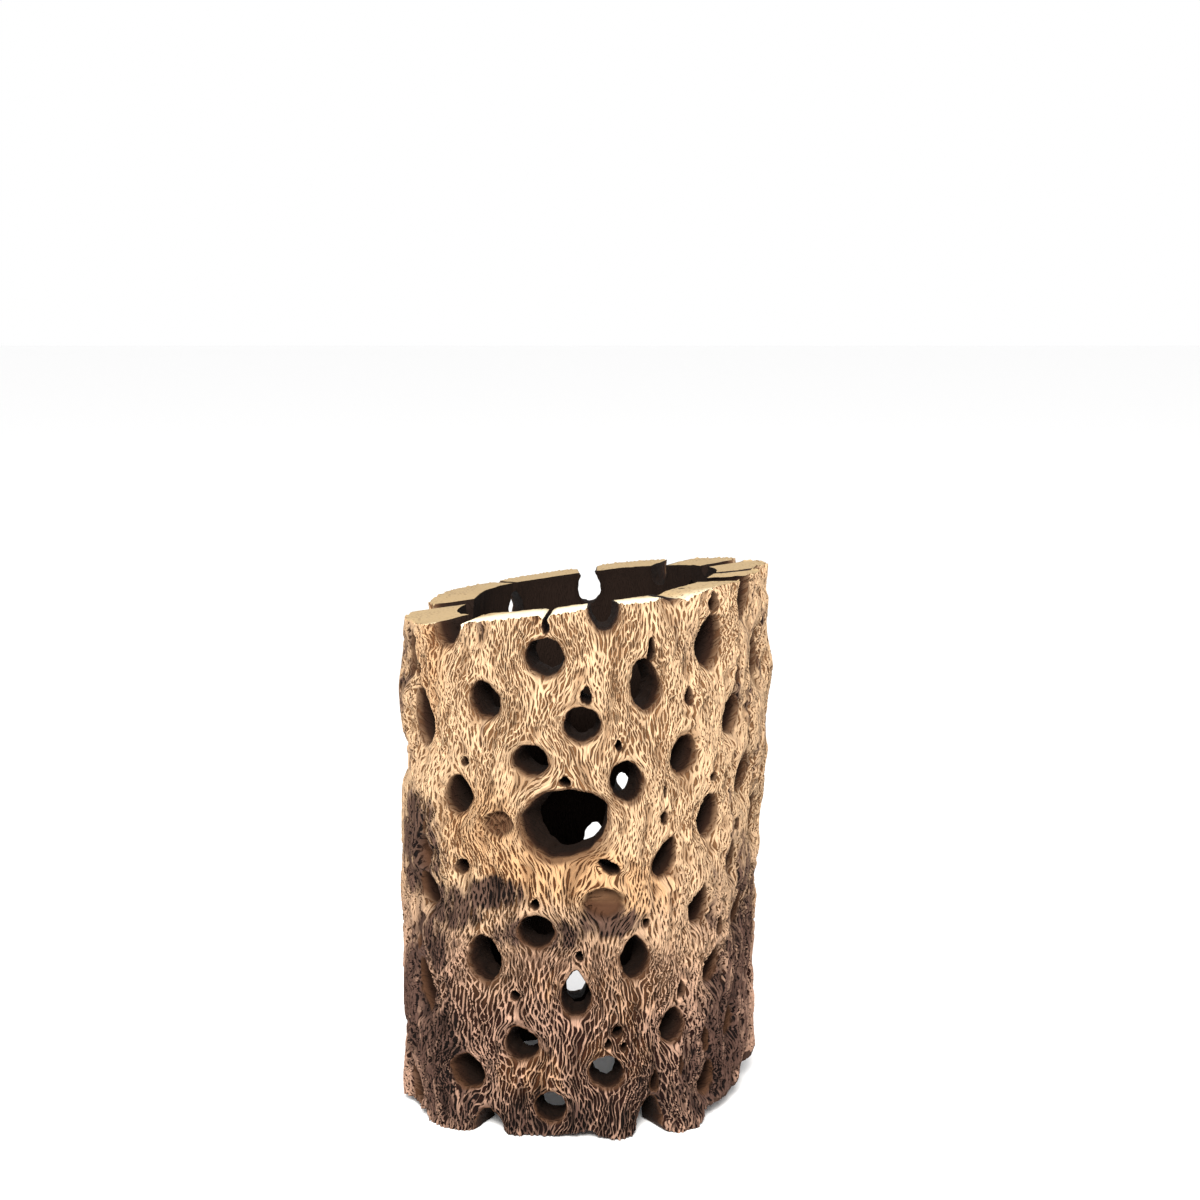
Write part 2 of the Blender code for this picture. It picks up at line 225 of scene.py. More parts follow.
# Windows that the photo shows or lets light through, as (number: along, up, width, height,
# pointed, tilt). Along and up are how far the window has strayed from its place in the spiral.
SEEN_WINDOWS = {
    -4: (-1.0, 1.5, 5.5, 8.5, 0.6, 0), 1: (-0.3, -1.7, 6.3, 6.5, 0.2, 10), 4: (1.0, -0.6, 7.0, 6.2, 0.4, 0),
    6: (3.6, -1.2, 7.5, 7.0, 0.5, 15), 9: (-2.1, -1.8, 7.0, 6.5, 0.1, 0), 12: (-1.5, 0.6, 6.0, 6.0, 0.3, 0),
    14: (1.8, -2.3, 6.7, 6.9, 0.4, -15), 17: (-0.5, -1.0, 6.0, 7.2, 0.4, 0),
    19: (1.0, 1.7, 6.0, 9.8, 0.3, 0), 22: (-0.3, 0.6, 6.0, 9.4, 0.75, 0),
    25: (-1.5, 1.5, 6.5, 7.0, 0.4, 0), 27: (2.4, 1.4, 6.8, 9.6, 0.5, -8),
    30: (-1.2, 0.5, 6.3, 8.8, 0.6, 0), 33: (-2.5, 2.8, 6.0, 7.0, 0.4, 0), 35: (0.0, 0.0, 7.3, 6.5, 0.15, 0),
    38: (1.2, 1.7, 6.0, 7.5, 0.6, 12), 40: (-3.0, 0.7, 6.5, 6.2, 0.3, 0), 46: (0.0, 1.3, 6.2, 6.7, 0.4, 0),
    51: (0.5, -0.6, 4.6, 7.9, 0.3, 22), 56: (0.6, 1.1, 16.9, 13.2, -0.05, -8),
    59: (-0.8, -1.2, 7.0, 8.0, 0.3, 0), 61: (-0.3, 0.0, 6.5, 7.4, 0.4, 0),
    64: (0.0, 1.9, 6.6, 8.2, 0.15, -10),
    67: (0.0, -2.3, 6.8, 8.2, 0.3, 0), 69: (1.9, 0.2, 7.0, 6.2, 0.1, 0), 72: (0.0, -1.1, 6.0, 7.8, 0.15, 0),
    74: (-2.0, 1.2, 6.2, 11.0, 0.4, 0), 77: (-0.9, 0.0, 7.5, 6.7, 0.1, -12),
    80: (1.5, -2.6, 6.8, 7.3, 0.3, 0), 82: (0.8, -1.4, 6.4, 7.1, 0.1, -20),
    85: (-1.2, 0.3, 6.5, 9.8, 0.3, -10), 90: (0.0, 0.0, 7.2, 7.5, 0.0, 0),
    93: (1.8, 0.0, 7.6, 10.0, 0.5, 0), 98: (-1.5, 2.0, 6.0, 9.0, 0.0, 0), 101: (1.5, 0.0, 7.2, 9.0, 0.3, 0),
    5: (2.2, -0.5, 6.0, 7.5, 0.3, 0), 39: (0.5, -1.0, 6.6, 8.0, 0.3, 0), 52: (0.8, -1.5, 5.5, 6.5, 0.3, 0),
    47: (1.5, 2.5, 6.0, 7.2, 0.3, 0), 60: (0.5, -1.5, 6.0, 6.5, 0.3, 0), 81: (-2.5, 2.5, 5.9, 7.6, 0.3, 0),
}
PITS = {43: (0.3, -1.2, 8.0, 5.8), 48: (0.6, 7.6, 6.2, 5.0), 53: (5.0, -5.0, 5.0, 6.5)}

# Small pores of the front, as (across, down, width, height, tilt). Across and down are pixels of
# the photograph. The sizes are millimetres.
SEEN_PORES = (
    (652, 650, 1.7, 4.6, 0), (586, 697, 2.4, 3.2, 0), (565, 782, 2.2, 2.0, 0),
    (619.6, 747, 1.4, 2.2, 0), (691, 697, 2.1, 3.4, 0), (716, 602, 3.0, 3.8, 0),
    (462.7, 762, 1.6, 2.0, 0), (461, 866, 3.0, 3.0, -30), (610, 868, 4.8, 2.3, 25),
    (667, 819, 1.7, 2.4, 0), (534.6, 905, 1.9, 2.0, 0), (648, 924, 1.5, 1.6, 0),
    (579, 959, 1.6, 2.0, 0), (514, 997, 1.7, 2.2, 0), (684, 990, 2.3, 3.0, 0),
    (618, 1033, 2.2, 2.2, 0), (608.5, 1045.5, 1.4, 2.0, 0), (624.5, 1047.5, 1.3, 1.8, 0),
    (711, 1040, 2.6, 4.6, 0), (656, 1082, 1.7, 4.4, 0), (725, 927, 3.0, 3.8, 20),
    (717, 776, 2.1, 2.2, 0), (743, 824, 2.4, 2.4, 0), (740, 674, 1.9, 3.4, 0),
    (683, 1065, 1.3, 3.6, 0), (545, 627, 1.5, 2.8, 0), (667, 792, 0.8, 2.4, 0),
)


@dataclass
class PhotoView:
    """The camera that was fitted to the photograph."""

    stem: StemShape
    pitch: float = math.radians(8.5)
    distance: float = 0.5
    focal_pixels: float = 2550.7
    aim_x: float = 2.73 * MM
    aim_z: float = 97.49 * MM

    @property
    def eye(self) -> tuple[float, float, float]:
        """Where the camera stands, from the stem's own axis."""
        return (
            self.aim_x,
            -self.distance * math.cos(self.pitch),
            self.aim_z + self.distance * math.sin(self.pitch),
        )

    def onto_stem(self, across: float, down: float) -> tuple[float, float]:
        """The place on the stem's outside that a pixel shows.

        Args:
            across, down: the pixel, from the top left corner.

        Returns:
            How far along the sheet and how high it is.
        """
        eye_x, eye_y, eye_z = self.eye
        ray_x = (across - PHOTO_SIDE / 2) / self.focal_pixels
        rise = (PHOTO_SIDE / 2 - down) / self.focal_pixels
        ray_y = math.cos(self.pitch) + rise * math.sin(self.pitch)
        ray_z = rise * math.cos(self.pitch) - math.sin(self.pitch)
        to_x, to_y = self.stem.trace_x[:-1] - eye_x, self.stem.trace_y[:-1] - eye_y
        side_x, side_y = np.diff(self.stem.trace_x), np.diff(self.stem.trace_y)
        turn = ray_x * side_y - ray_y * side_x
        far = (to_x * side_y - to_y * side_x) / turn
        share = (to_x * ray_y - to_y * ray_x) / turn
        met = np.flatnonzero((share >= 0) & (share < 1))
        nearest = met[np.argmin(far[met])]
        side = np.hypot(side_x[nearest], side_y[nearest])
        along = self.stem.trace[nearest] + share[nearest] * side
        return float(along), float(eye_z + far[nearest] * ray_z)


@dataclass
class OpeningPlan:
    """Lays the openings out: a spiral of windows, with a pore above most of the hidden ones."""

    stem: StemShape
    view: PhotoView
    golden_turn: float = 137.508 / 360
    first_turn: float = 0.346
    window_rise: float = 0.947 * MM
    first_rise: float = 6.85 * MM
    lean_x: float = -0.041
    lean_y: float = 0.015
    numbers: tuple[int, int] = (-14, 112)
    window_width: float = 6.7 * MM
    window_height: float = 7.6 * MM
    width_range: tuple[float, float] = (0.88, 1.08)
    height_range: tuple[float, float] = (0.85, 1.25)
    leaning: tuple[tuple[int, float], ...] = ((56, 1.5 * MM), (69, 1.3 * MM))
    pore_share: float = 0.62
    pore_width: tuple[float, float] = (1.2, 2.4)
    pore_height: tuple[float, float] = (1.8, 3.4)
    pore_gap: float = 2.6 * MM
    pore_rise: tuple[float, float] = (-0.6, 0.8)
    pore_stray: float = 1.2
    clearance: float = 0.6 * MM
    drawn: tuple[float, float] = (146 * MM, 212 * MM)
    bare: tuple[float, float] = (56 * MM, 66 * MM)

    def windows(self) -> list[Opening]:
        """The windows and pits, placed by the spiral.

        Returns:
            Every opening that a saw cut hasn't passed by.
        """
        draw = random.Random(SEED)
        made = []
        for number in range(self.numbers[0], self.numbers[1] + 1):
            along = (self.first_turn + number * self.golden_turn) % 1 * self.stem.length
            x, y = self.stem.point(np.array(along))
            up = float(self.first_rise + number * self.window_rise + self.lean_x * x + self.lean_y * y)
            width = self.window_width * draw.uniform(*self.width_range)
            height = self.window_height * draw.uniform(*self.height_range)
            pointed, tilt = 0.35, 0.0
            if number in SEEN_WINDOWS:
                stray_along, stray_up, width, height, pointed, tilt = SEEN_WINDOWS[number]
            elif number in PITS:
                stray_along, stray_up, width, height = PITS[number]
            if number in SEEN_WINDOWS or number in PITS:
                along += stray_along * MM
                up += stray_up * MM
                width, height = width * MM, height * MM
            kind = OpeningKind.PIT if number in PITS else OpeningKind.WINDOW
            lean = dict(self.leaning).get(number, 0.0)
            if -height / 2 < up < float(self.stem.top(np.array(along))) + height / 2:
                made.append(Opening(kind, along, up, width / 2, height / 2, pointed, tilt, lean=lean))
        return made

    def pores(self, windows: list[Opening]) -> list[Opening]:
        """The small holes: those of the front listed one by one, the rest by a rule.

        Args:
            windows: the windows that the pores keep clear of.
        """
        made = []
        for across, down, width, height, tilt in SEEN_PORES:
            along, up = self.view.onto_stem(across, down)
            half_width, half_height = width * MM / 2, height * MM / 2
            made.append(Opening(OpeningKind.PORE, along, up, half_width, half_height, 0.3, tilt, 0.1))
        draw = random.Random(SEED + 1)
        for window in windows:
            if self.drawn[0] < window.along % self.stem.length < self.drawn[1]:
                continue
            if draw.random() > self.pore_share:
                continue
            width, height = draw.uniform(*self.pore_width) * MM, draw.uniform(*self.pore_height) * MM
            up = window.up + window.half_height + self.pore_gap + draw.uniform(*self.pore_rise) * MM
            along = window.along + draw.uniform(-self.pore_stray, self.pore_stray) * MM
            clear = True
            for other in windows:
                side = abs(float(self.stem.wrap(np.array(along - other.along))))
                beside = side > other.half_width + width / 2 + self.clearance
                apart = abs(up - other.up) > other.half_height + height / 2 + self.clearance
                clear = clear and (beside or apart)
            if clear and not self.bare[0] < along < self.bare[1]:
                made.append(Opening(OpeningKind.PORE, along, up, width / 2, height / 2, 0.3, 0, 0.1))
        return made


@dataclass(frozen=True)
class Stain:
    """A patch on the flat sheet, in millimetres, with a soft and ragged edge: weather, and for some charred
    ones painted shade.
    """

    along: float
    up: float
    half_width: float
    half_height: float
    strength: float = 1.0


# Charred patches, darker on strands and in hollows. The faint ones at along 128 to 131 and 203 to 217, down
# the left and right sides, are painted shade where the light falls off there.
CHARRED_AND_EDGE_SHADE = (
    Stain(137, 54, 7.5, 11), Stain(146, 44, 7, 4.5, 0.95), Stain(155, 47, 6, 3.2, 0.95),
    Stain(164, 39.5, 9, 3.2, 0.85), Stain(177, 42, 7, 3.0, 0.8), Stain(141, 36, 6, 6, 0.8),
    Stain(134, 24, 8, 18, 0.9), Stain(143, 14, 8, 15, 0.8), Stain(186, 8, 4, 9, 0.65),
    Stain(207, 14, 11, 16, 0.9), Stain(216, 30, 10, 24, 0.75), Stain(196, 9, 6, 11, 0.7),
    Stain(166, 3, 26, 6, 0.6), Stain(213, 58, 8, 16, 0.35), Stain(203, 44, 5, 10, 0.4),
    Stain(128, 84, 5, 12, 0.5), Stain(131, 74, 7, 26, 0.3), Stain(217, 80, 11, 26, 0.38),
    Stain(192, 95, 3.5, 6, 0.4), Stain(152, 97, 3, 5, 0.35), Stain(60, 30, 14, 9, 0.6),
    Stain(95, 62, 8, 14, 0.7), Stain(28, 55, 9, 12, 0.5), Stain(75, 12, 16, 8, 0.6),
)
GOLDEN = (
    Stain(167, 52, 15, 6), Stain(152, 60, 8, 9, 0.8), Stain(180, 48, 10, 6, 0.8),
    Stain(163, 58, 10, 4, 0.8), Stain(141, 88, 5, 14, 0.65), Stain(164, 101, 2.5, 2.5, 0.7),
    Stain(170, 30, 9, 4, 0.4), Stain(179, 16, 9, 5, 0.4), Stain(163, 12, 8, 6, 0.45),
    Stain(181, 27, 6, 8, 0.35), Stain(50, 70, 16, 12, 0.6), Stain(100, 30, 12, 12, 0.5),
    Stain(10, 78, 10, 16, 0.4),
)


@dataclass
class Sheet:
    """The flat grid of the wall's outside, and what every point of it knows.

    cut is positive on wood, about a distance in metres, and negative in an opening or beyond a
    saw cut. owner is the opening, or saw cut, whose edge is nearest.
    """

    stem: StemShape
    openings: list[Opening]
    columns: int = 1200
    row_height: float = 0.27 * MM
    lowest: float = -1.08 * MM
    rows: int = 396
    funnel_depth: float = 1.3 * MM
    funnel_reach: float = 0.55
    shoulder_depth: float = 0.8 * MM
    shoulder_reach: float = 0.5 * MM
    pore_funnel: float = 0.4 * MM
    lower_lip: float = 0.45
    pit_depth: float = 2.9 * MM
    pit_edge: float = 1.25
    pit_slope: float = 0.5
    pit_mark: float = 1.12
    pit_mark_slope: float = 0.3
    mouth_reach: float = 0.1
    mouth_low: float = 0.13
    narrowing: float = 0.55
    edge_waves: tuple[int, ...] = (2, 3, 5, 8, 13)
    flow_fade: float = 8 * MM
    lengthening: float = 0.6
    saw_rough: float = 0.07 * MM
    saw_waves: tuple[int, ...] = (271, 173, 89)
    foot_rougher: float = 1.6
    least_squeeze: float = 0.12

    TOP = -1
    FOOT = -2

    def __post_init__(self) -> None:
        """Fills in the grid."""
        self.column_width = self.stem.length / self.columns
        across = np.arange(self.columns) * self.column_width
        levels = self.lowest + np.arange(self.rows + 1) * self.row_height
        self.up, self.along = np.meshgrid(levels, across, indexing="ij")
        shape = self.up.shape
        self.cut = np.full(shape, 1.0)
        self.owner = np.full(shape, self.TOP)
        self.sink, self.mouth, self.pit = np.zeros(shape), np.zeros(shape), np.zeros(shape)
        self.grain_across, self.grain_up = self.along.copy(), self.up.copy()
        for index, opening in enumerate(self.openings):
            self._open(index, opening)
        for along, up, half_width, half_height, out in BULGES:
            side = self.stem.wrap(self.along - along * MM) / (half_width * MM)
            far = np.hypot(side, (self.up - up * MM) / (half_height * MM))
            self.sink -= out * MM * ease(1.5 - far)
        self._saw()
        self.spread = self._spread()

    def _block(self, opening: Opening) -> tuple[np.ndarray, np.ndarray]:
        """The rows and columns that the opening's grain reaches."""
        reach = opening.reach
        low = math.floor((opening.up - reach - self.lowest) / self.row_height)
        high = math.ceil((opening.up + reach - self.lowest) / self.row_height)
        rows = np.arange(max(low, 0), min(high, self.rows) + 1)
        first = math.floor((opening.along - reach) / self.column_width)
        last = math.ceil((opening.along + reach) / self.column_width)
        return rows, np.arange(first, last + 1) % self.columns

    def outline(self, index: int, opening: Opening, along: np.ndarray, up: np.ndarray) -> np.ndarray:
        """How many times further out than the opening's outline each point lies.

        Args:
            index: the opening's number, which seeds its ragged edge.
            opening: the opening.
            along: the points' distance along the sheet.
            up: the points' height.
        """
        across, above = self.stem.wrap(along - opening.along), up - opening.up
        turn = math.radians(opening.tilt)
        side = (across * math.cos(turn) - above * math.sin(turn)) / opening.half_width
        rise = (across * math.sin(turn) + above * math.cos(turn)) / opening.half_height
        narrowed = 1 - self.narrowing * opening.pointed * np.clip(rise + 0.15, 0, 1.1) ** 1.4
        angle = np.arctan2(rise, side)
        draw = random.Random(SEED * 1000 + index)
        edge = sum(
            math.sqrt(1 / count) * np.cos(count * angle + draw.uniform(0, 2 * math.pi))
            for count in self.edge_waves
        )
        return np.hypot(side / narrowed, rise) / (1 + opening.ragged * edge)

    def _open(self, index: int, opening: Opening) -> None:
        """Cuts the opening, sinks its funnel and bends the grain round it."""
        rows, columns = self._block(opening)
        block = np.ix_(rows, columns)
        along, up = self.along[block], self.up[block]
        out = self.outline(index, opening, along, up)
        rim = np.maximum(out - 1, 0)
        above = (up - opening.up) / opening.half_height
        lip = 1 + self.lower_lip * np.clip(-above, -1, 1)
        edge = (out - 1) * min(opening.half_width, opening.half_height)
        if opening.kind is OpeningKind.PIT:
            sink = self.pit_depth * ease((self.pit_edge - out) / self.pit_slope)
            # The pit's mark, which paints its floor dark brown: partly brown fibres, partly painted shade of
            # the recess.
            mark = ease((self.pit_mark - out) / self.pit_mark_slope)
            self.pit[block] = np.maximum(self.pit[block], mark)
        else:
            shoulder = np.exp(-((np.maximum(edge, 0) / self.shoulder_reach) ** 2))
            if opening.kind is OpeningKind.WINDOW:
                sink = self.funnel_depth * lip * np.exp(-((rim / self.funnel_reach) ** 2))
                sink += self.shoulder_depth * shoulder
            else:
                sink = self.pore_funnel * (np.exp(-((rim / self.funnel_reach) ** 2)) + shoulder)
            nearer = edge < self.cut[block]
            self.cut[block] = np.where(nearer, edge, self.cut[block])
            self.owner[block] = np.where(nearer, index, self.owner[block])
            # The mouth mark: a dark ring round the rim, wider on the window's lower side, partly darker wood
            # and partly painted shade of the funnel going in.
            reach = self.mouth_reach + self.mouth_low * ease(0.5 - above * 0.7)
            self.mouth[block] = np.maximum(self.mouth[block], np.exp(-((rim / reach) ** 2)))
        self.sink[block] = np.maximum(self.sink[block], sink)

        radius = opening.half_width
        side = self.stem.wrap(along - opening.along)
        height = above * radius
        distance = np.hypot(side, height)
        fade = np.exp(-((np.maximum(distance - radius, 0) / self.flow_fade) ** 2) / 2)
        pull = radius**2 / np.maximum(distance, radius) ** 2 * fade
        self.grain_across[block] -= side * pull
        self.grain_up[block] += self.lengthening * height * pull * opening.half_height / radius

    def _saw(self) -> None:
        """Cuts the sheet at the top and at the foot."""
        turn = self.along / self.stem.length * 2 * math.pi
        rough = self.saw_rough * sum(
            np.sin(count * turn + phase) for phase, count in enumerate(self.saw_waves)
        )
        above = self.stem.top(self.along) + rough - self.up
        below = self.up - self.stem.foot(self.along) - self.foot_rougher * rough
        for edge, name in ((above, self.TOP), (below, self.FOOT)):
            self.owner = np.where(edge < self.cut, name, self.owner)
            self.cut = np.minimum(self.cut, edge)

    def _spread(self) -> np.ndarray:
        """How many times wider apart than usual the strands lie."""
        step = np.roll(self.grain_across, -1, axis=1) - np.roll(self.grain_across, 1, axis=1)
        along = self.stem.wrap(step) / (2 * self.column_width)
        up = np.gradient(self.grain_across, self.row_height, axis=0)
        return 1 / np.maximum(np.hypot(along, up), self.least_squeeze)


class WallMesh:
    """The whole wall as points, faces and what each point knows, before it is split into strips."""

    SNAP = 0.5001
    RING_POWER = 1.5
    BORE_SPACING = 1.5 * MM
    BORE_CLEARANCE = 0.45 * MM
    RING_RADIUS = 40 * MM

    def __init__(self, sheet: Sheet, rings: int = 7, taper: float = 0.86) -> None:
        """Cuts the grid along the openings and leads every rim in to the bore.

        Args:
            sheet: the flat grid.
            rings: how many rings of points lead a rim in through the wall.
            taper: how wide a tunnel is at the bore, as a share of its mouth.
        """
        self.sheet = sheet
        self.stem = sheet.stem
        self.rings = rings
        self.taper = taper
        self.quads: list[np.ndarray] = []
        self.triangles: list[np.ndarray] = []
        self.sawn_quads: list[np.ndarray] = []
        self._skin()
        self._tunnels()
        self._bore()

    def _snap(self) -> tuple[np.ndarray, dict[str, np.ndarray]]:
        """Moves the grid's points nearest to an edge onto it.

        Returns:
            0 for a point in the open, 1 for one on an edge and 2 for one in the wood; and what
            each point knows once it has moved.
        """
        sheet = self.sheet
        cut = sheet.cut
        known = {
            "along": sheet.along, "up": sheet.up, "depth": sheet.sink, "mouth": sheet.mouth,
            "pit": sheet.pit, "grain_across": sheet.grain_across, "grain_up": sheet.grain_up,
            "spread": sheet.spread,
        }
        best = np.full(cut.shape, self.SNAP)
        moved = {name: values.copy() for name, values in known.items()}
        for axis, step in ((1, 1), (1, -1), (0, 1), (0, -1)):
            other = np.roll(cut, -step, axis=axis)
            crossed = (cut < 0) != (other < 0)
            if axis == 0:
                crossed[-1 if step == 1 else 0, :] = False
            share = np.where(crossed, cut / np.where(crossed, cut - other, 1), 1)
            better = share < best
            best = np.where(better, share, best)
            for name, values in known.items():
                change = np.roll(values, -step, axis=axis) - values
                if name in ("along", "grain_across"):
                    change = self.stem.wrap(change)
                moved[name] = np.where(better, values + share * change, moved[name])
        return np.where(best < self.SNAP, 1, np.where(cut < 0, 0, 2)), moved

    def _skin(self) -> None:
        """The outside: every whole quad of wood, and the triangles that finish it at an edge."""
        sheet = self.sheet
        state, known = self._snap()
        number = np.arange(state.size).reshape(state.shape)

        def corners(values: np.ndarray) -> np.ndarray:
            right = np.roll(values, -1, axis=1)
            return np.stack((values[:-1], right[:-1], right[1:], values[1:]), axis=-1).reshape(-1, 4)

        quad, marks, cuts = corners(number), corners(state), corners(sheet.cut)
        open_corners = (marks == 0).sum(axis=1)
        keep = (open_corners == 0) & ((marks == 2).any(axis=1) | (cuts.mean(axis=1) > 0))
        quads = quad[keep]
        triangles = []
        for corner in range(4):
            rest = [(corner + 1) % 4, (corner + 2) % 4, (corner + 3) % 4]
            ends = (open_corners == 1) & (marks[:, corner] == 0)
            ends &= (marks[:, rest] == 2).any(axis=1) | (cuts[:, rest].mean(axis=1) > 0)
            triangles.append(quad[ends][:, rest])
        triangles = np.concatenate(triangles)

        used = np.unique(np.concatenate((quads.ravel(), triangles.ravel())))
        place = np.full(state.size, -1)
        place[used] = np.arange(len(used))
        self.quads.append(place[quads])
        self.sawn_quads.append(np.zeros(len(quads), dtype=bool))
        self.triangles.append(place[triangles])
        self.points = {name: values.ravel()[used] for name, values in known.items()}
        self.points["inward"] = np.zeros(len(used))
        self.owner = sheet.owner.ravel()[used]

    def _rim_edges(self) -> np.ndarray:
        """The skin's open edges, each with its wood on the left."""
        edges = np.concatenate([
            np.stack((face[:, side], face[:, (side + 1) % face.shape[1]]), axis=1)
            for face in (self.quads[0], self.triangles[0]) for side in range(face.shape[1])
        ])
        count = len(self.owner)
        keys, back = edges[:, 0] * count + edges[:, 1], edges[:, 1] * count + edges[:, 0]
        return edges[~np.isin(keys, back)]

    def _inner(
        self, along: np.ndarray, up: np.ndarray, owner: np.ndarray, share: float, depth: np.ndarray
    ) -> tuple[np.ndarray, np.ndarray]:
        """Where a rim's points have come to, part of the way in through the wall."""
        openings = self.sheet.openings
        centre_along = np.array([one.along for one in openings])[np.maximum(owner, 0)]
        centre_up = np.array([one.up for one in openings])[np.maximum(owner, 0)]
        lean = np.array([one.lean for one in openings])[np.maximum(owner, 0)]
        narrow = 1 - (1 - self.taper) * share
        side = self.stem.wrap(along - centre_along)
        moved_along = np.where(owner >= 0, centre_along + side * narrow + lean * share, along)
        moved_up = np.where(owner >= 0, centre_up + (up - centre_up) * narrow, up)
        top, foot = self.stem.top(moved_along, depth), self.stem.foot(moved_along, depth)
        moved_up = np.where(owner == Sheet.TOP, top, np.where(owner == Sheet.FOOT, foot, moved_up))
        return moved_along, np.clip(moved_up, foot, top)

    def _tunnels(self) -> None:
        """Leads every rim in to the bore, as a tunnel, or as the sawn face of an end."""
        edges = self._rim_edges()
        rim = np.unique(edges)
        where = np.full(len(self.owner), -1)
        where[rim] = np.arange(len(rim))
        first, second = where[edges[:, 0]], where[edges[:, 1]]
        base = {name: values[rim] for name, values in self.points.items()}
        owner = self.owner[rim]
        sawn = (owner[first] < 0) & (owner[second] < 0)
        start = len(self.owner)
        added = {name: [] for name in self.points}
        previous = rim
        for ring in range(1, self.rings + 1):
            share = (ring / self.rings) ** self.RING_POWER
            depth = base["depth"] + (self.stem.wall - base["depth"]) * share
            along, up = self._inner(base["along"], base["up"], owner, share, depth)
            ring_values = dict(base, along=along, up=up, depth=depth, mouth=np.ones(len(rim)))
            ring_values["inward"] = np.full(len(rim), share)
            ring_values["grain_up"] = base["grain_up"] + share * self.stem.wall
            for name, values in ring_values.items():
                added[name].append(values)
            current = start + (ring - 1) * len(rim) + np.arange(len(rim))
            self.quads.append(np.stack(
                (previous[second], previous[first], current[first], current[second]), axis=1
            ))
            self.sawn_quads.append(sawn)
            previous = current
        for name, parts in added.items():
            self.points[name] = np.concatenate([self.points[name], *parts])
        self.owner = np.concatenate([self.owner] + [owner] * self.rings)
        self.bore_rim, self.bore_edges = previous, np.stack((previous[first], previous[second]), axis=1)

    def _bore_cut(self, along: np.ndarray, up: np.ndarray) -> np.ndarray:
        """How far each point of the bore's wall is from an opening, negative inside one."""
        sheet, wall = self.sheet, self.stem.wall
        cut = np.minimum(self.stem.top(along, wall) - up, up - self.stem.foot(along, wall))
        for index, opening in enumerate(sheet.openings):
            if opening.kind is OpeningKind.PIT:
                continue
            near = np.abs(self.stem.wrap(along - opening.along)) < opening.reach
            near &= np.abs(up - opening.up) < opening.reach
            side = self.stem.wrap(along[near] - opening.along) - opening.lean
            open_along = opening.along + side / self.taper
            open_up = opening.up + (up[near] - opening.up) / self.taper
            out = sheet.outline(index, opening, open_along, open_up)
            edge = (out - 1) * min(opening.half_width, opening.half_height)
            cut[near] = np.minimum(cut[near], edge)
        return cut

    def _bore(self) -> None:
        """Closes the wall on its inside, with a coarser net of triangles between the tunnels.

        The bore's wall is laid out as a ring, with up as the radius, so that it has no seam.
        """
        length, ring, spacing = self.stem.length, self.RING_RADIUS, self.BORE_SPACING
        columns, rows = round(length / spacing), round(self.stem.height * 1.05 / spacing)
        along, up = np.meshgrid(np.arange(columns) * length / columns, np.arange(rows) * spacing)
        along, up = (along + (np.arange(rows)[:, None] % 2) * spacing / 2).ravel(), up.ravel()
        free = self._bore_cut(along, up) > self.BORE_CLEARANCE
        along, up = along[free], up[free]
        all_along = np.concatenate([self.points["along"][self.bore_rim], along])
        all_up = np.concatenate([self.points["up"][self.bore_rim], up])
        turn = all_along / length * 2 * math.pi
        flat = np.stack(((ring + all_up) * np.cos(turn), (ring + all_up) * np.sin(turn)), axis=1)
        first = self.bore_rim[0]
        edges = (self.bore_edges - first).tolist()
        spots, _, faces, sources, _, _ = delaunay_2d_cdt(
            [Vector(spot) for spot in (flat / MM).tolist()], edges, [], 0, 1e-5
        )
        spots = np.array([spot[:] for spot in spots]) * MM
        spot_along = np.mod(np.arctan2(spots[:, 1], spots[:, 0]), 2 * math.pi) / (2 * math.pi) * length
        spot_up = np.hypot(spots[:, 0], spots[:, 1]) - ring
        faces = np.array(faces)
        middle = spots[faces].mean(axis=1)
        middle_along = np.mod(np.arctan2(middle[:, 1], middle[:, 0]), 2 * math.pi) / (2 * math.pi) * length
        keep = self._bore_cut(middle_along, np.hypot(middle[:, 0], middle[:, 1]) - ring) > 0
        rim_count, start = len(self.bore_rim), len(self.owner)
        number = np.empty(len(spots), dtype=int)
        fresh = []
        for index, source in enumerate(sources):
            known = [item for item in source if item < rim_count]
            if known:
                number[index] = self.bore_rim[known[0]]
            else:
                number[index] = start + len(fresh)
                fresh.append(index)
        self.triangles.append(number[faces[keep]])
        count = len(fresh)
        values = {
            "along": spot_along[fresh], "up": spot_up[fresh], "depth": np.full(count, self.stem.wall),
            "mouth": np.ones(count), "pit": np.zeros(count), "inward": np.ones(count),
            "grain_across": spot_along[fresh], "grain_up": spot_up[fresh], "spread": np.ones(count),
        }
        for name, extra in values.items():
            self.points[name] = np.concatenate([self.points[name], extra])
        self.owner = np.concatenate([self.owner, np.full(count, Sheet.TOP)])

    def _patch(self, stains: tuple[Stain, ...]) -> np.ndarray:
        """How strongly the stains mark each point, from 0 to 1."""
        along, up = self.points["along"], self.points["up"]
        made = np.zeros(len(along))
        for stain in stains:
            side = self.stem.wrap(along - stain.along * MM) / (stain.half_width * MM)
            rise = (up - stain.up * MM) / (stain.half_height * MM)
            made = np.maximum(made, stain.strength * ease(1.5 - np.hypot(side, rise)))
        return made

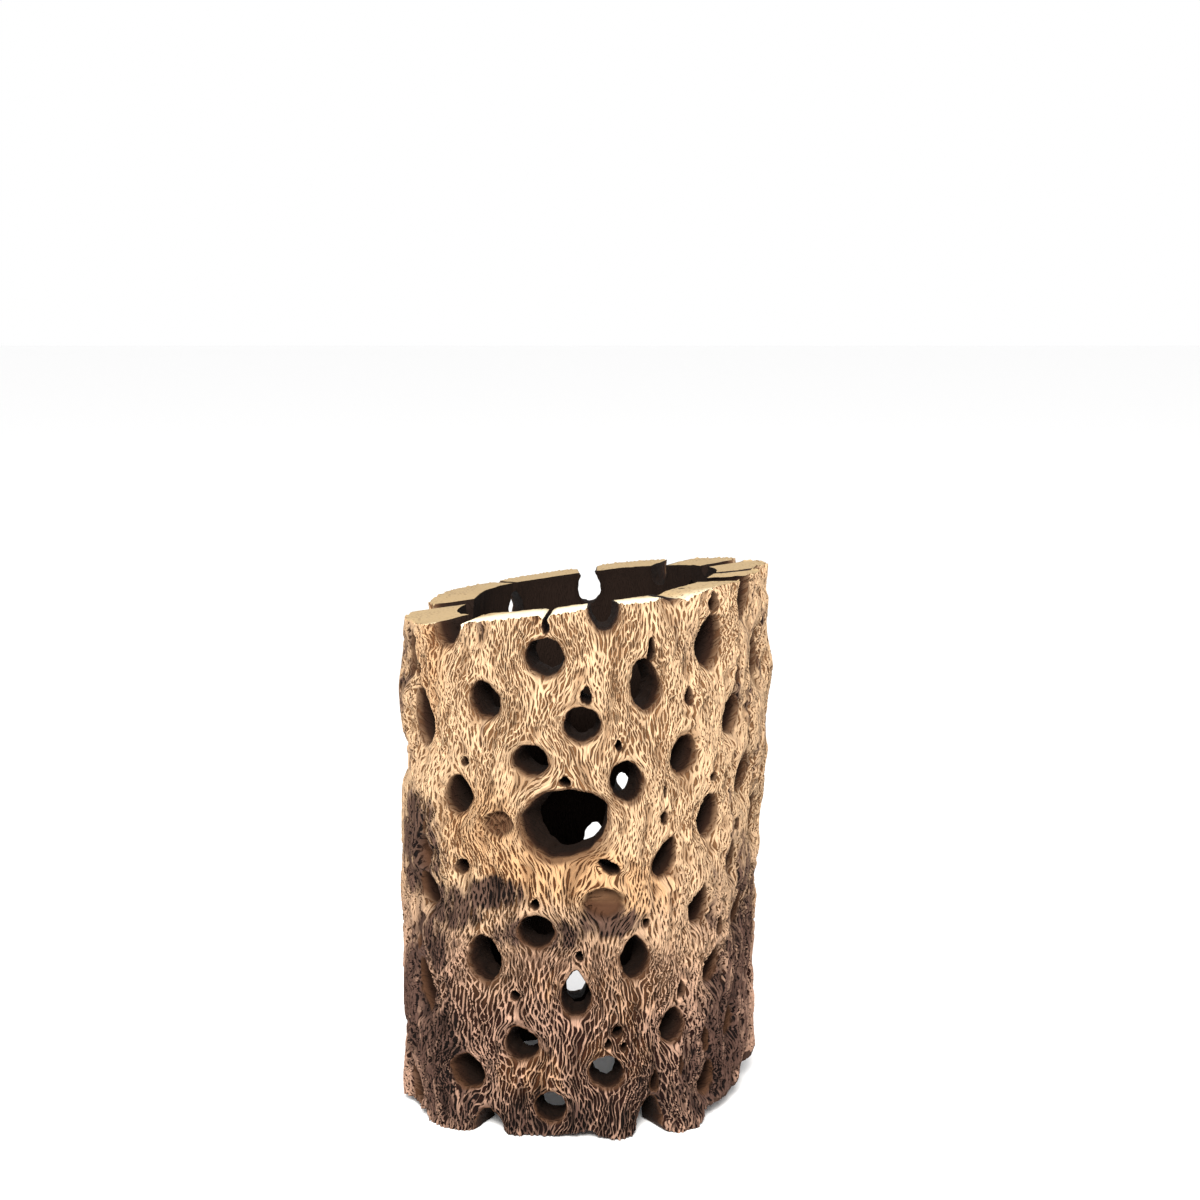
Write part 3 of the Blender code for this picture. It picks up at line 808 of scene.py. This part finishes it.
    def strips(self, count: int = 7) -> list[bpy.types.Object]:
        """Splits the wall into upright strips, each a mesh of its own.

        Args:
            count: how many strips there are.

        Returns:
            One object a strip, with the attributes that its net and its finish read.
        """
        points, length = self.points, self.stem.length
        spots = self.stem.place(points["along"], points["up"], points["depth"])
        out_x, out_y = self.stem.normal(points["along"])
        outward = np.stack((out_x, out_y, np.zeros_like(out_x)), axis=1)
        marks = {
            "mouth": points["mouth"], "pit": points["pit"], "inward": points["inward"],
            "charred_and_edge_shade": self._patch(CHARRED_AND_EDGE_SHADE), "golden": self._patch(GOLDEN),
        }
        quads = np.concatenate(self.quads)
        triangles = np.concatenate(self.triangles)
        faces = np.concatenate((quads, np.column_stack((triangles, triangles[:, 0]))))
        corner_count = np.concatenate((np.full(len(quads), 4), np.full(len(triangles), 3)))
        sawn = np.concatenate((*self.sawn_quads, np.zeros(len(triangles), dtype=bool))).astype(np.int32)
        turn = np.mod(points["along"][faces[:, 0]], length) / length
        strip = np.minimum((turn * count).astype(int), count - 1)
        made = []
        for index in range(count):
            mine = strip == index
            own, sizes = faces[mine], corner_count[mine]
            corners = own.ravel()[(np.arange(4)[None, :] < sizes[:, None]).ravel()]
            used, corners = np.unique(corners, return_inverse=True)
            mesh = bpy.data.meshes.new(f"wall_strip_{index + 1}")
            mesh.vertices.add(len(used))
            mesh.loops.add(len(corners))
            mesh.polygons.add(len(sizes))
            mesh.vertices.foreach_set("co", spots[used].astype(np.float32).ravel())
            mesh.loops.foreach_set("vertex_index", corners.astype(np.int32))
            starts = np.concatenate(([0], np.cumsum(sizes)[:-1])).astype(np.int32)
            mesh.polygons.foreach_set("loop_start", starts)
            mesh.update(calc_edges=True)
            middle = (index + 0.5) / count * length
            across = middle + self.stem.wrap(points["grain_across"][used] - middle)
            grain = np.stack((across, points["grain_up"][used], points["spread"][used] * MM), axis=1) / MM
            for name, vectors in (("outward", outward[used]), ("grain", grain)):
                layer = mesh.attributes.new(name, "FLOAT_VECTOR", "POINT")
                layer.data.foreach_set("vector", vectors.astype(np.float32).ravel())
            for name, values in marks.items():
                layer = mesh.attributes.new(name, "FLOAT", "POINT")
                layer.data.foreach_set("value", values[used].astype(np.float32))
            saw_mark = mesh.attributes.new("sawn", "FLOAT", "FACE")
            saw_mark.data.foreach_set("value", sawn[mine].astype(np.float32))
            obj = bpy.data.objects.new(mesh.name, mesh)
            bpy.context.scene.collection.objects.link(obj)
            made.append(obj)
        return made


class Graph:
    """Adds nodes to a tree and joins them up."""

    def __init__(self, tree: bpy.types.NodeTree) -> None:
        """Starts on a tree."""
        self.tree = tree

    def add(self, kind: str, inputs: dict[Any, Any] | None = None, **settings: Any) -> bpy.types.Node:
        """Adds a node.

        Args:
            kind: Blender's name for the node.
            inputs: a value, or a socket to link, by the input's name or number.
            settings: the node's own settings.
        """
        node = self.tree.nodes.new(kind)
        for name, value in settings.items():
            setattr(node, name, value)
        for name, value in (inputs or {}).items():
            self.feed(node.inputs[name], value)
        return node

    def feed(self, socket: bpy.types.NodeSocket, value: Any) -> None:
        """Links a socket, or sets its value."""
        if isinstance(value, bpy.types.NodeSocket):
            self.tree.links.new(value, socket)
        else:
            socket.default_value = value

    def math(self, operation: str, *values: Any) -> bpy.types.NodeSocket:
        """One sum on numbers."""
        return self.add("ShaderNodeMath", dict(enumerate(values)), operation=operation).outputs[0]

    def vector(self, operation: str, *values: Any) -> bpy.types.NodeSocket:
        """One sum on vectors."""
        return self.add("ShaderNodeVectorMath", dict(enumerate(values)), operation=operation).outputs[0]

    def parts(self, vector: Any) -> Any:
        """A vector's three numbers, by the names X, Y and Z."""
        return self.add("ShaderNodeSeparateXYZ", {0: vector}).outputs

    def joined(self, x: Any = 0.0, y: Any = 0.0, z: Any = 0.0) -> bpy.types.NodeSocket:
        """A vector of three numbers."""
        return self.add("ShaderNodeCombineXYZ", {"X": x, "Y": y, "Z": z}).outputs[0]

    def centred(self, noise: Any, reach: Any) -> bpy.types.NodeSocket:
        """Noise from 0 to 1 moved to lie evenly about 0, over this reach."""
        return self.math("MULTIPLY", self.math("SUBTRACT", noise, 0.5), reach)

    def step(
        self, value: Any, low: Any, high: Any, start: float = 0.0, end: float = 1.0
    ) -> bpy.types.NodeSocket:
        """A smooth step of value from low to high, as numbers from start to end."""
        inputs = {"Value": value, "From Min": low, "From Max": high, "To Min": start, "To Max": end}
        return self.add("ShaderNodeMapRange", inputs, interpolation_type="SMOOTHSTEP").outputs["Result"]

    def blend(self, share: Any, first: Any, second: Any, mode: str = "MIX") -> bpy.types.NodeSocket:
        """Mixes two colours."""
        node = self.add("ShaderNodeMix", data_type="RGBA", blend_type=mode)
        self.feed(node.inputs[0], share)
        self.feed(node.inputs[6], first)
        self.feed(node.inputs[7], second)
        return node.outputs[2]

    def lerp(self, share: Any, first: Any, second: Any) -> bpy.types.NodeSocket:
        """Mixes two numbers."""
        return self.add("ShaderNodeMix", {0: share, 2: first, 3: second}, data_type="FLOAT").outputs[0]

    def noise(
        self, vector: Any, scale: float, detail: float = 2.0, roughness: float = 0.5
    ) -> bpy.types.NodeSocket:
        """Soft noise from 0 to 1."""
        inputs = {"Vector": vector, "Scale": scale, "Detail": detail, "Roughness": roughness}
        return self.add("ShaderNodeTexNoise", inputs).outputs[0]

    def bump(self, shader: bpy.types.Node, height: Any, strength: float, distance: float) -> None:
        """Roughens a shader's surface by a height."""
        inputs = {"Strength": strength, "Distance": distance, "Height": height}
        self.feed(shader.inputs["Normal"], self.add("ShaderNodeBump", inputs).outputs[0])


def new_finish(name: str, roughness: float) -> tuple[bpy.types.Material, Graph, bpy.types.Node]:
    """A new material, its tree's builder and its shader."""
    material = bpy.data.materials.new(name)
    material.use_nodes = True
    shader = material.node_tree.nodes["Principled BSDF"]
    shader.inputs["Roughness"].default_value = roughness
    return material, Graph(material.node_tree), shader


@dataclass(frozen=True)
class Net:
    """The net of strands, which sway and touch round lens-shaped hollows.

    Lengths are in millimetres. The tree that raises the net and the finish that colours it both
    draw it from here, so that they agree. The strands are counted round the stem, an even
    number, so that the net closes on itself.
    """

    around: float
    strands: int = 450
    low_strands: int = 350
    bundles: int = 62
    cell_length: float = 3.0
    bundle_length: float = 19.0
    sway: float = 0.38
    wander: float = 6.5
    stretch: float = 9.0
    low_from: float = 48.0
    low_to: float = 30.0
    strand: float = 0.2
    shoulder: float = 0.3
    strand_apart: float = 3.7
    drift_rate: float = 0.16
    pull_scale: tuple[float, float] = (0.3, 0.09)
    open_scale: tuple[float, float] = (0.16, 0.1)
    thickest: float = 2.0
    thinnest: float = 0.7
    low_growth: float = 0.62
    split_growth: float = 1.2
    split_spread: tuple[float, float] = (1.35, 1.9)
    gap_edges: tuple[float, float] = (0.22, 0.72)
    low_seed: float = 411.0
    split_seed: float = 833.0
    bundle_seed: float = 57.0

    def rolled(self, graph: Graph, grain: Any, across: float, up: float) -> bpy.types.NodeSocket:
        """Grain coordinates rolled into a cylinder, so that noise on them has no seam.

        Args:
            graph: the tree's builder.
            grain: the grain coordinates.
            across: how much of a noise cell a millimetre across the grain is.
            up: how much of one a millimetre along the grain is.
        """
        parts = graph.parts(grain)
        radius = self.around / (2 * math.pi)
        turn = graph.math("DIVIDE", parts["X"], radius)
        return graph.joined(
            graph.math("MULTIPLY", graph.math("COSINE", turn), radius * across),
            graph.math("MULTIPLY", graph.math("SINE", turn), radius * across),
            graph.math("MULTIPLY", parts["Y"], up),
        )

    def nearest(
        self, graph: Graph, across: Any, up: Any, count: int, cell_length: float, seed: float
    ) -> bpy.types.NodeSocket:
        """How far the nearest strand is, in strand widths.

        Args:
            graph: the tree's builder.
            across: the grain coordinate across the strands.
            up: the grain coordinate along them.
            count: how many strands there are round the stem.
            cell_length: how long a hollow is.
            seed: sets this layer of strands apart from the others.
        """
        scaled = graph.math("MULTIPLY", across, count / self.around)
        below = graph.math("FLOOR", scaled)
        swing = graph.math("MULTIPLY", up, 2 * math.pi / cell_length)
        found = []
        for step in (0.0, 1.0):
            strand = graph.math("ADD", below, step)
            own = graph.math("FLOORED_MODULO", strand, float(count))
            spot = graph.joined(
                graph.math("MULTIPLY_ADD", own, self.strand_apart, seed),
                graph.math("MULTIPLY", up, self.drift_rate),
            )
            drift = graph.add(
                "ShaderNodeTexNoise", {"Vector": spot, "Scale": 1.0, "Detail": 1.0}, noise_dimensions="2D"
            ).outputs[0]
            phase = graph.math("MULTIPLY_ADD", own, math.pi, swing)
            phase = graph.math("ADD", graph.centred(drift, self.wander * 2), phase)
            line = graph.math("MULTIPLY_ADD", graph.math("SINE", phase), self.sway, strand)
            found.append(graph.math("ABSOLUTE", graph.math("SUBTRACT", scaled, line)))
        return graph.math("MINIMUM", *found)

    def hollow(self, graph: Graph, grain: Any) -> bpy.types.NodeSocket:
        """How far down in a hollow a point lies: 0 on a strand and 1 in the middle of a cell."""
        parts = graph.parts(grain)
        across, up, spread = parts["X"], parts["Y"], parts["Z"]
        pulled = graph.noise(self.rolled(graph, grain, *self.pull_scale), 1.0, 1.0)
        up = graph.math("MULTIPLY_ADD", pulled, self.stretch, up)
        usual = self.nearest(graph, across, up, self.strands, self.cell_length, 0.0)
        wide = self.nearest(graph, across, up, self.low_strands, self.cell_length * 1.12, self.low_seed)
        split = self.nearest(graph, across, up, self.strands * 2, self.cell_length * 0.8, self.split_seed)
        open_net = graph.noise(self.rolled(graph, grain, *self.open_scale), 1.0, 2.0)
        thin = graph.step(open_net, 0.32, 0.68, self.strand * self.thickest, self.strand * self.thinnest)
        strayed = graph.math("MULTIPLY_ADD", open_net, 14.0, graph.math("SUBTRACT", up, 7.0))
        low = graph.step(strayed, self.low_from, self.low_to)
        apart = graph.step(spread, *self.split_spread)

        def depth(near: Any, grow: float) -> bpy.types.NodeSocket:
            width = graph.math("MULTIPLY", thin, grow)
            return graph.step(near, width, graph.math("ADD", width, self.shoulder * grow))

        made = graph.lerp(low, depth(usual, 0.9), depth(wide, self.low_growth))
        return graph.lerp(apart, made, depth(split, self.split_growth))

    def gap(self, graph: Graph, grain: Any) -> bpy.types.NodeSocket:
        """How far down between two bundles of strands a point lies, from 0 to 1."""
        parts = graph.parts(grain)
        near = self.nearest(graph, parts["X"], parts["Y"], self.bundles, self.bundle_length, self.bundle_seed)
        return graph.step(near, *self.gap_edges)


@dataclass(frozen=True)
class NetRelief:
    """Raises the net on a strip of the wall, with a Geometry Nodes tree."""

    net: Net
    depth: float = 0.5 * MM
    gap_depth: float = 0.75 * MM
    sway: float = 1.1
    swell: float = 2.8 * MM
    furrow: float = 2.0 * MM
    rough: float = 1.0 * MM
    sway_scale: float = 260.0
    swell_scale: float = 62.0
    furrow_scale: tuple[float, float] = (0.24, 0.035)
    rough_scale: float = 420.0
    crease: float = 65.0

    def tree(self, skin: bpy.types.Material, saw: bpy.types.Material) -> bpy.types.NodeTree:
        """Builds the tree.

        Args:
            skin: the finish of the outside, the tunnels and the bore.
            saw: the finish of the sawn ends.
        """
        tree = bpy.data.node_groups.new("strand_net_relief", "GeometryNodeTree")
        face = tree.interface
        face.new_socket("Geometry", in_out="INPUT", socket_type="NodeSocketGeometry")
        numbers = {
            "Hollow Depth": self.depth, "Gap Depth": self.gap_depth, "Strand Sway": self.sway,
            "Swell": self.swell, "Furrow": self.furrow, "Tunnel Roughness": self.rough, "Seed": float(SEED),
        }
        for name, value in numbers.items():
            face.new_socket(name, in_out="INPUT", socket_type="NodeSocketFloat").default_value = value
        for name, value in (("Skin", skin), ("Saw Cut", saw)):
            face.new_socket(name, in_out="INPUT", socket_type="NodeSocketMaterial").default_value = value
        face.new_socket("Geometry", in_out="OUTPUT", socket_type="NodeSocketGeometry")
        graph = Graph(tree)
        given = graph.add("NodeGroupInput").outputs

        def named(name: str, kind: str = "FLOAT") -> bpy.types.NodeSocket:
            node = graph.add("GeometryNodeInputNamedAttribute", {"Name": name}, data_type=kind)
            return node.outputs["Attribute"]

        position = graph.add("GeometryNodeInputPosition").outputs[0]
        drift = graph.add(
            "ShaderNodeTexNoise",
            {"Vector": position, "W": given["Seed"], "Scale": self.sway_scale, "Detail": 2.0},
            noise_dimensions="4D",
        ).outputs["Color"]
        drift = graph.parts(drift)
        sway = graph.joined(*(graph.centred(drift[axis], given["Strand Sway"]) for axis in "XY"))
        swayed = graph.vector("ADD", named("grain", "FLOAT_VECTOR"), sway)
        kept = graph.add(
            "GeometryNodeStoreNamedAttribute",
            {"Geometry": given["Geometry"], "Name": "grain", "Value": swayed},
            data_type="FLOAT_VECTOR", domain="POINT",
        ).outputs[0]
        grain = named("grain", "FLOAT_VECTOR")
        height = graph.parts(position)["Z"]
        deeper = graph.step(height, 0.056, 0.03, 0.75, 1.4)
        down = graph.math("MULTIPLY", self.net.hollow(graph, grain), given["Hollow Depth"])
        down = graph.math("MULTIPLY", down, deeper)
        down = graph.math("MULTIPLY_ADD", self.net.gap(graph, grain), given["Gap Depth"], down)
        down = graph.math("MULTIPLY", down, graph.math("MULTIPLY_ADD", named("mouth"), -0.8, 1.0))
        swell = graph.centred(graph.noise(position, self.swell_scale, 1.0), given["Swell"])
        furrows = graph.noise(self.net.rolled(graph, grain, *self.furrow_scale), 1.0, 1.0)
        furrow = graph.centred(furrows, given["Furrow"])
        furrow = graph.math("MULTIPLY", furrow, graph.step(height, 0.085, 0.03, 0.45, 1.0))
        shape = graph.math("ADD", swell, graph.math("SUBTRACT", furrow, down))
        inward = named("inward")
        shape = graph.math("MULTIPLY", shape, graph.step(inward, 0.35, 0.0))
        lift = graph.vector("SCALE", named("outward", "FLOAT_VECTOR"))
        graph.feed(lift.node.inputs["Scale"], shape)
        walls = graph.centred(graph.noise(position, self.rough_scale, 2.0), given["Tunnel Roughness"])
        unsawn = graph.math("SUBTRACT", 1.0, named("sawn"))
        inside = graph.math("MULTIPLY", graph.step(inward, 0.02, 0.3), unsawn)
        walls = graph.math("MULTIPLY", walls, inside)
        bulge = graph.vector("SCALE", graph.add("GeometryNodeInputNormal").outputs[0])
        graph.feed(bulge.node.inputs["Scale"], walls)
        moved = graph.add(
            "GeometryNodeSetPosition", {"Geometry": kept, "Offset": graph.vector("ADD", lift, bulge)}
        ).outputs[0]
        real = graph.add("GeometryNodeRealizeInstances", {"Geometry": moved}).outputs[0]
        inputs = {"Geometry": real, "Material": given["Skin"]}
        dressed = graph.add("GeometryNodeSetMaterial", inputs).outputs[0]
        on_saw = graph.math("GREATER_THAN", named("sawn"), 0.5)
        inputs = {"Geometry": dressed, "Selection": on_saw, "Material": given["Saw Cut"]}
        dressed = graph.add("GeometryNodeSetMaterial", inputs).outputs[0]
        graph.add("NodeGroupOutput", {0: dressed})
        return tree

    def apply(self, obj: bpy.types.Object, tree: bpy.types.NodeTree) -> None:
        """Runs the tree on a strip and keeps the result as a plain mesh."""
        modifier = obj.modifiers.new("net", "NODES")
        modifier.node_group = tree
        graph = bpy.context.evaluated_depsgraph_get()
        made = bpy.data.meshes.new_from_object(obj.evaluated_get(graph))
        obj.modifiers.clear()
        old = obj.data
        obj.data = made
        bpy.data.meshes.remove(old)
        made.name = obj.name
        made.shade_smooth()
        made.set_sharp_from_angle(angle=math.radians(self.crease))


@dataclass(frozen=True)
class SkinFinish:
    """The netted outside and the tunnels: pale strands over brown hollows, with painted shade in the hollows,
    rims and pits, and darker inwards as painted shade in the tunnels and bore.
    """

    net: Net
    strand_high: tuple = linear(168, 140, 110)
    strand_low: tuple = linear(146, 115, 97)
    # Hollows are brown wood, darkened further as painted shade in the recesses, most of all low down.
    hollow_high: tuple = linear(92, 64, 40)
    hollow_low: tuple = linear(30, 12, 7)
    golden_strand: tuple = linear(158, 124, 90)
    golden_hollow: tuple = linear(72, 42, 20)
    # The charred patches' colours, which also serve as painted shade at the stem's left and right sides.
    charred_and_shaded_strand: tuple = linear(60, 42, 36)
    charred_and_shaded_hollow: tuple = linear(10, 5, 4)
    # The pit's floor: brown fibres, darkened as painted shade of the recess.
    pit: tuple = linear(60, 38, 24)
    # A dark ring round each window's rim: partly darker wood, partly painted shade of the funnel.
    lip: tuple = linear(62, 40, 25)
    # Near-black tunnels and bore: painted shade, as the inside of the stem gets little light.
    tunnel: tuple = linear(34, 19, 11)
    bore: tuple = linear(22, 13, 8)
    specular: float = 0.08

    def make(self) -> bpy.types.Material:
        """Builds the material."""
        material, graph, shader = new_finish("netted_wood", 0.85)
        shader.inputs["Specular IOR Level"].default_value = self.specular

        def mark(name: str, output: str = "Fac") -> bpy.types.NodeSocket:
            return graph.add("ShaderNodeAttribute", attribute_name=name).outputs[output]

        def ragged(value: Any, low: float, high: float, share: float) -> bpy.types.NodeSocket:
            return graph.step(graph.math("ADD", graph.centred(streak, share), value), low, high)

        grain = mark("grain", "Vector")
        place = graph.add("ShaderNodeTexCoord").outputs["Object"]
        height = graph.parts(place)["Z"]
        cloud = graph.noise(place, 70.0, 3.0, 0.6)
        streak = graph.noise(self.net.rolled(graph, grain, 0.55, 0.14), 1.0, 4.0, 0.65)
        hollow = self.net.hollow(graph, grain)
        low = graph.step(graph.math("MULTIPLY_ADD", cloud, 0.03, height), 0.072, 0.034)
        strand = graph.blend(low, self.strand_high, self.strand_low)
        under = graph.blend(low, self.hollow_high, self.hollow_low)
        gold = ragged(mark("golden"), 0.1, 1.1, 1.8)
        strand = graph.blend(gold, strand, self.golden_strand)
        under = graph.blend(gold, under, self.golden_hollow)
        # Charred patches, and the painted shade of the faint side patches, darken strands and hollows.
        char_and_shade = ragged(mark("charred_and_edge_shade"), 0.2, 0.85, 2.6)
        strand = graph.blend(graph.math("MULTIPLY", char_and_shade, 0.95), strand, self.charred_and_shaded_strand)
        under = graph.blend(char_and_shade, under, self.charred_and_shaded_hollow)
        # Hollows and the gaps between bundles take the darker hollow colour: their own brown plus painted
        # shade of the recess.
        gap = self.net.gap(graph, grain)
        down = graph.step(graph.math("MAXIMUM", hollow, graph.math("MULTIPLY", gap, 0.4)), 0.0, 0.75)
        colour = graph.blend(down, strand, under)
        fibre = graph.noise(self.net.rolled(graph, grain, 5.0, 0.5), 1.0, 3.0, 0.7)
        shade = graph.step(streak, 0.3, 0.7, 0.78, 1.12)
        shade = graph.math("MULTIPLY", shade, graph.step(fibre, 0.34, 0.66, 0.72, 1.12))
        grey = graph.add("ShaderNodeCombineColor", {0: shade, 1: shade, 2: shade}).outputs[0]
        colour = graph.blend(1.0, colour, grey, "MULTIPLY")
        # Pits take a dark brown that is partly painted shade.
        colour = graph.blend(graph.math("MULTIPLY", mark("pit"), 0.9), colour, self.pit)
        # The dark ring at each window's rim, partly painted shade of the funnel going in, also reaching into
        # the tunnels.
        lip = graph.math("MULTIPLY", ragged(mark("mouth"), 0.4, 1.0, 0.9), 0.85)
        colour = graph.blend(lip, colour, self.lip)
        inward = mark("inward")
        # Painted shade: the tunnels and the bore darken inwards.
        colour = graph.blend(graph.step(inward, 0.0, 0.2), colour, self.tunnel)
        colour = graph.blend(graph.step(inward, 0.12, 0.5), colour, self.bore)
        graph.feed(shader.inputs["Base Color"], colour)
        sunk = graph.math("MULTIPLY", hollow, 0.6)
        rise = graph.math("SUBTRACT", graph.math("MULTIPLY", fibre, 0.4), sunk)
        graph.bump(shader, rise, 0.7, 0.5 * MM)
        return material


@dataclass(frozen=True)
class SawnFinish:
    """The sawn ends: pale, porous wood, with a painted highlight that lightens the front of the top."""

    # fresh is the near-white of a painted highlight, laid on the front of the top cut.
    fresh: tuple = linear(222, 214, 186)
    wood: tuple = linear(154, 132, 98)
    pore: tuple = linear(70, 48, 30)
    # The sawn foot is darker towards the bottom.
    foot_dark: tuple = linear(50, 34, 26)
    specular: float = 0.15

    def make(self) -> bpy.types.Material:
        """Builds the material."""
        material, graph, shader = new_finish("sawn_wood", 0.9)
        shader.inputs["Specular IOR Level"].default_value = self.specular
        place = graph.add("ShaderNodeTexCoord").outputs["Object"]
        parts = graph.parts(place)
        cloud = graph.noise(place, 160.0, 4.0, 0.6)
        cells = graph.add(
            "ShaderNodeTexVoronoi", {"Vector": place, "Scale": 1300.0}, feature="DISTANCE_TO_EDGE"
        ).outputs["Distance"]
        pores = graph.step(cells, 0.2, 0.36)
        # Painted highlight: the front of the top is painted near white, and its pores show less there.
        front = graph.step(graph.math("MULTIPLY_ADD", cloud, 0.008, parts["Y"]), -0.019, -0.027)
        colour = graph.blend(front, self.wood, self.fresh)
        amount = graph.math("MULTIPLY", pores, graph.step(cloud, 0.4, 0.65, 0.05, 0.75))
        amount = graph.math("MULTIPLY", amount, graph.math("MULTIPLY_ADD", front, -0.6, 1.0))
        colour = graph.blend(amount, colour, self.pore)
        # Darker towards the foot.
        colour = graph.blend(graph.step(parts["Z"], 0.05, 0.02), colour, self.foot_dark)
        graph.feed(shader.inputs["Base Color"], colour)
        rise = graph.math("SUBTRACT", cloud, graph.math("MULTIPLY", pores, 0.4))
        graph.bump(shader, rise, 0.6, 0.4 * MM)
        return material


@dataclass
class Studio:
    """A pale floor, soft light and the camera."""

    stem: StemShape
    view: PhotoView
    sensor: float = 36.0
    lamp_place: tuple[float, float, float] = (-0.02, -0.62, 0.42)
    lamp_aim: tuple[float, float, float] = (0, 0, 0.055)
    lamp_size: float = 0.22
    lamp_watts: float = 13.0
    lamp_colour: tuple[float, float, float] = (1.0, 0.98, 0.95)
    floor_side: float = 3.0
    floor_grey: float = 0.96

    def camera(self) -> None:
        """Puts the camera at the photograph's viewing angle."""
        data = bpy.data.cameras.new("photo_camera")
        data.sensor_width = self.sensor
        data.lens = self.sensor * self.view.focal_pixels / PHOTO_SIDE
        data.clip_start = 0.01
        camera = bpy.data.objects.new("photo_camera", data)
        bpy.context.scene.collection.objects.link(camera)
        eye_x, eye_y, eye_z = self.view.eye
        camera.location = (eye_x - self.stem.centre[0], eye_y - self.stem.centre[1], eye_z)
        camera.rotation_euler = (math.pi / 2 - self.view.pitch, 0, 0)
        bpy.context.scene.camera = camera

    def lights(self) -> None:
        """Lights the piece with one soft lamp from the front and above, and white all round."""
        world = bpy.data.worlds.new("white_room")
        world.use_nodes = True
        back = world.node_tree.nodes["Background"]
        back.inputs["Color"].default_value = (1.0, 1.0, 1.0, 1.0)
        back.inputs["Strength"].default_value = 1.0
        bpy.context.scene.world = world
        data = bpy.data.lights.new("window_light", "AREA")
        data.size = self.lamp_size
        data.energy = self.lamp_watts
        data.color = self.lamp_colour
        lamp = bpy.data.objects.new("window_light", data)
        lamp.location = self.lamp_place
        aim = Vector(self.lamp_aim) - Vector(self.lamp_place)
        lamp.rotation_euler = aim.to_track_quat("-Z", "Y").to_euler()
        bpy.context.scene.collection.objects.link(lamp)

    def floor(self) -> None:
        """Lays the floor."""
        mesh = bpy.data.meshes.new("floor")
        side = self.floor_side
        spots = [(-side, -side, 0), (side, -side, 0), (side, side, 0), (-side, side, 0)]
        mesh.from_pydata(spots, [], [(0, 1, 2, 3)])
        floor = bpy.data.objects.new("floor", mesh)
        bpy.context.scene.collection.objects.link(floor)
        material, _, shader = new_finish("pale_floor", 0.9)
        grey = self.floor_grey
        shader.inputs["Base Color"].default_value = (grey, grey, grey, 1.0)
        mesh.materials.append(material)

    def colours(self) -> None:
        """Shows the picture's colours plainly."""
        bpy.context.scene.view_settings.view_transform = "Standard"


def corners(box: tuple[Vector, Vector]) -> list[list[float]]:
    """A box as plain lists."""
    return [list(box[0]), list(box[1])]


def main() -> None:
    """Builds the skeleton and its studio."""
    logging.basicConfig(level=logging.INFO, format="%(name)s: %(message)s")
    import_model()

    stem = StemShape()
    view = PhotoView(stem)
    plan = OpeningPlan(stem, view)
    windows = plan.windows()
    openings = windows + plan.pores(windows)
    log.info("laid out %d openings", len(openings))
    wall = WallMesh(Sheet(stem, openings))
    log.info("cut the wall: %d points", len(wall.owner))

    net = Net(around=stem.length / MM)
    relief = NetRelief(net)
    tree = relief.tree(SkinFinish(net).make(), SawnFinish().make())
    for piece in wall.strips():
        relief.apply(piece, tree)
        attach(piece, "root")
        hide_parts(NODE)
        log.info("%s: %d faces", piece.name, len(piece.data.polygons))

    studio = Studio(stem, view)
    studio.floor()
    studio.lights()
    studio.colours()
    studio.camera()


if __name__ == "__main__":
    main()
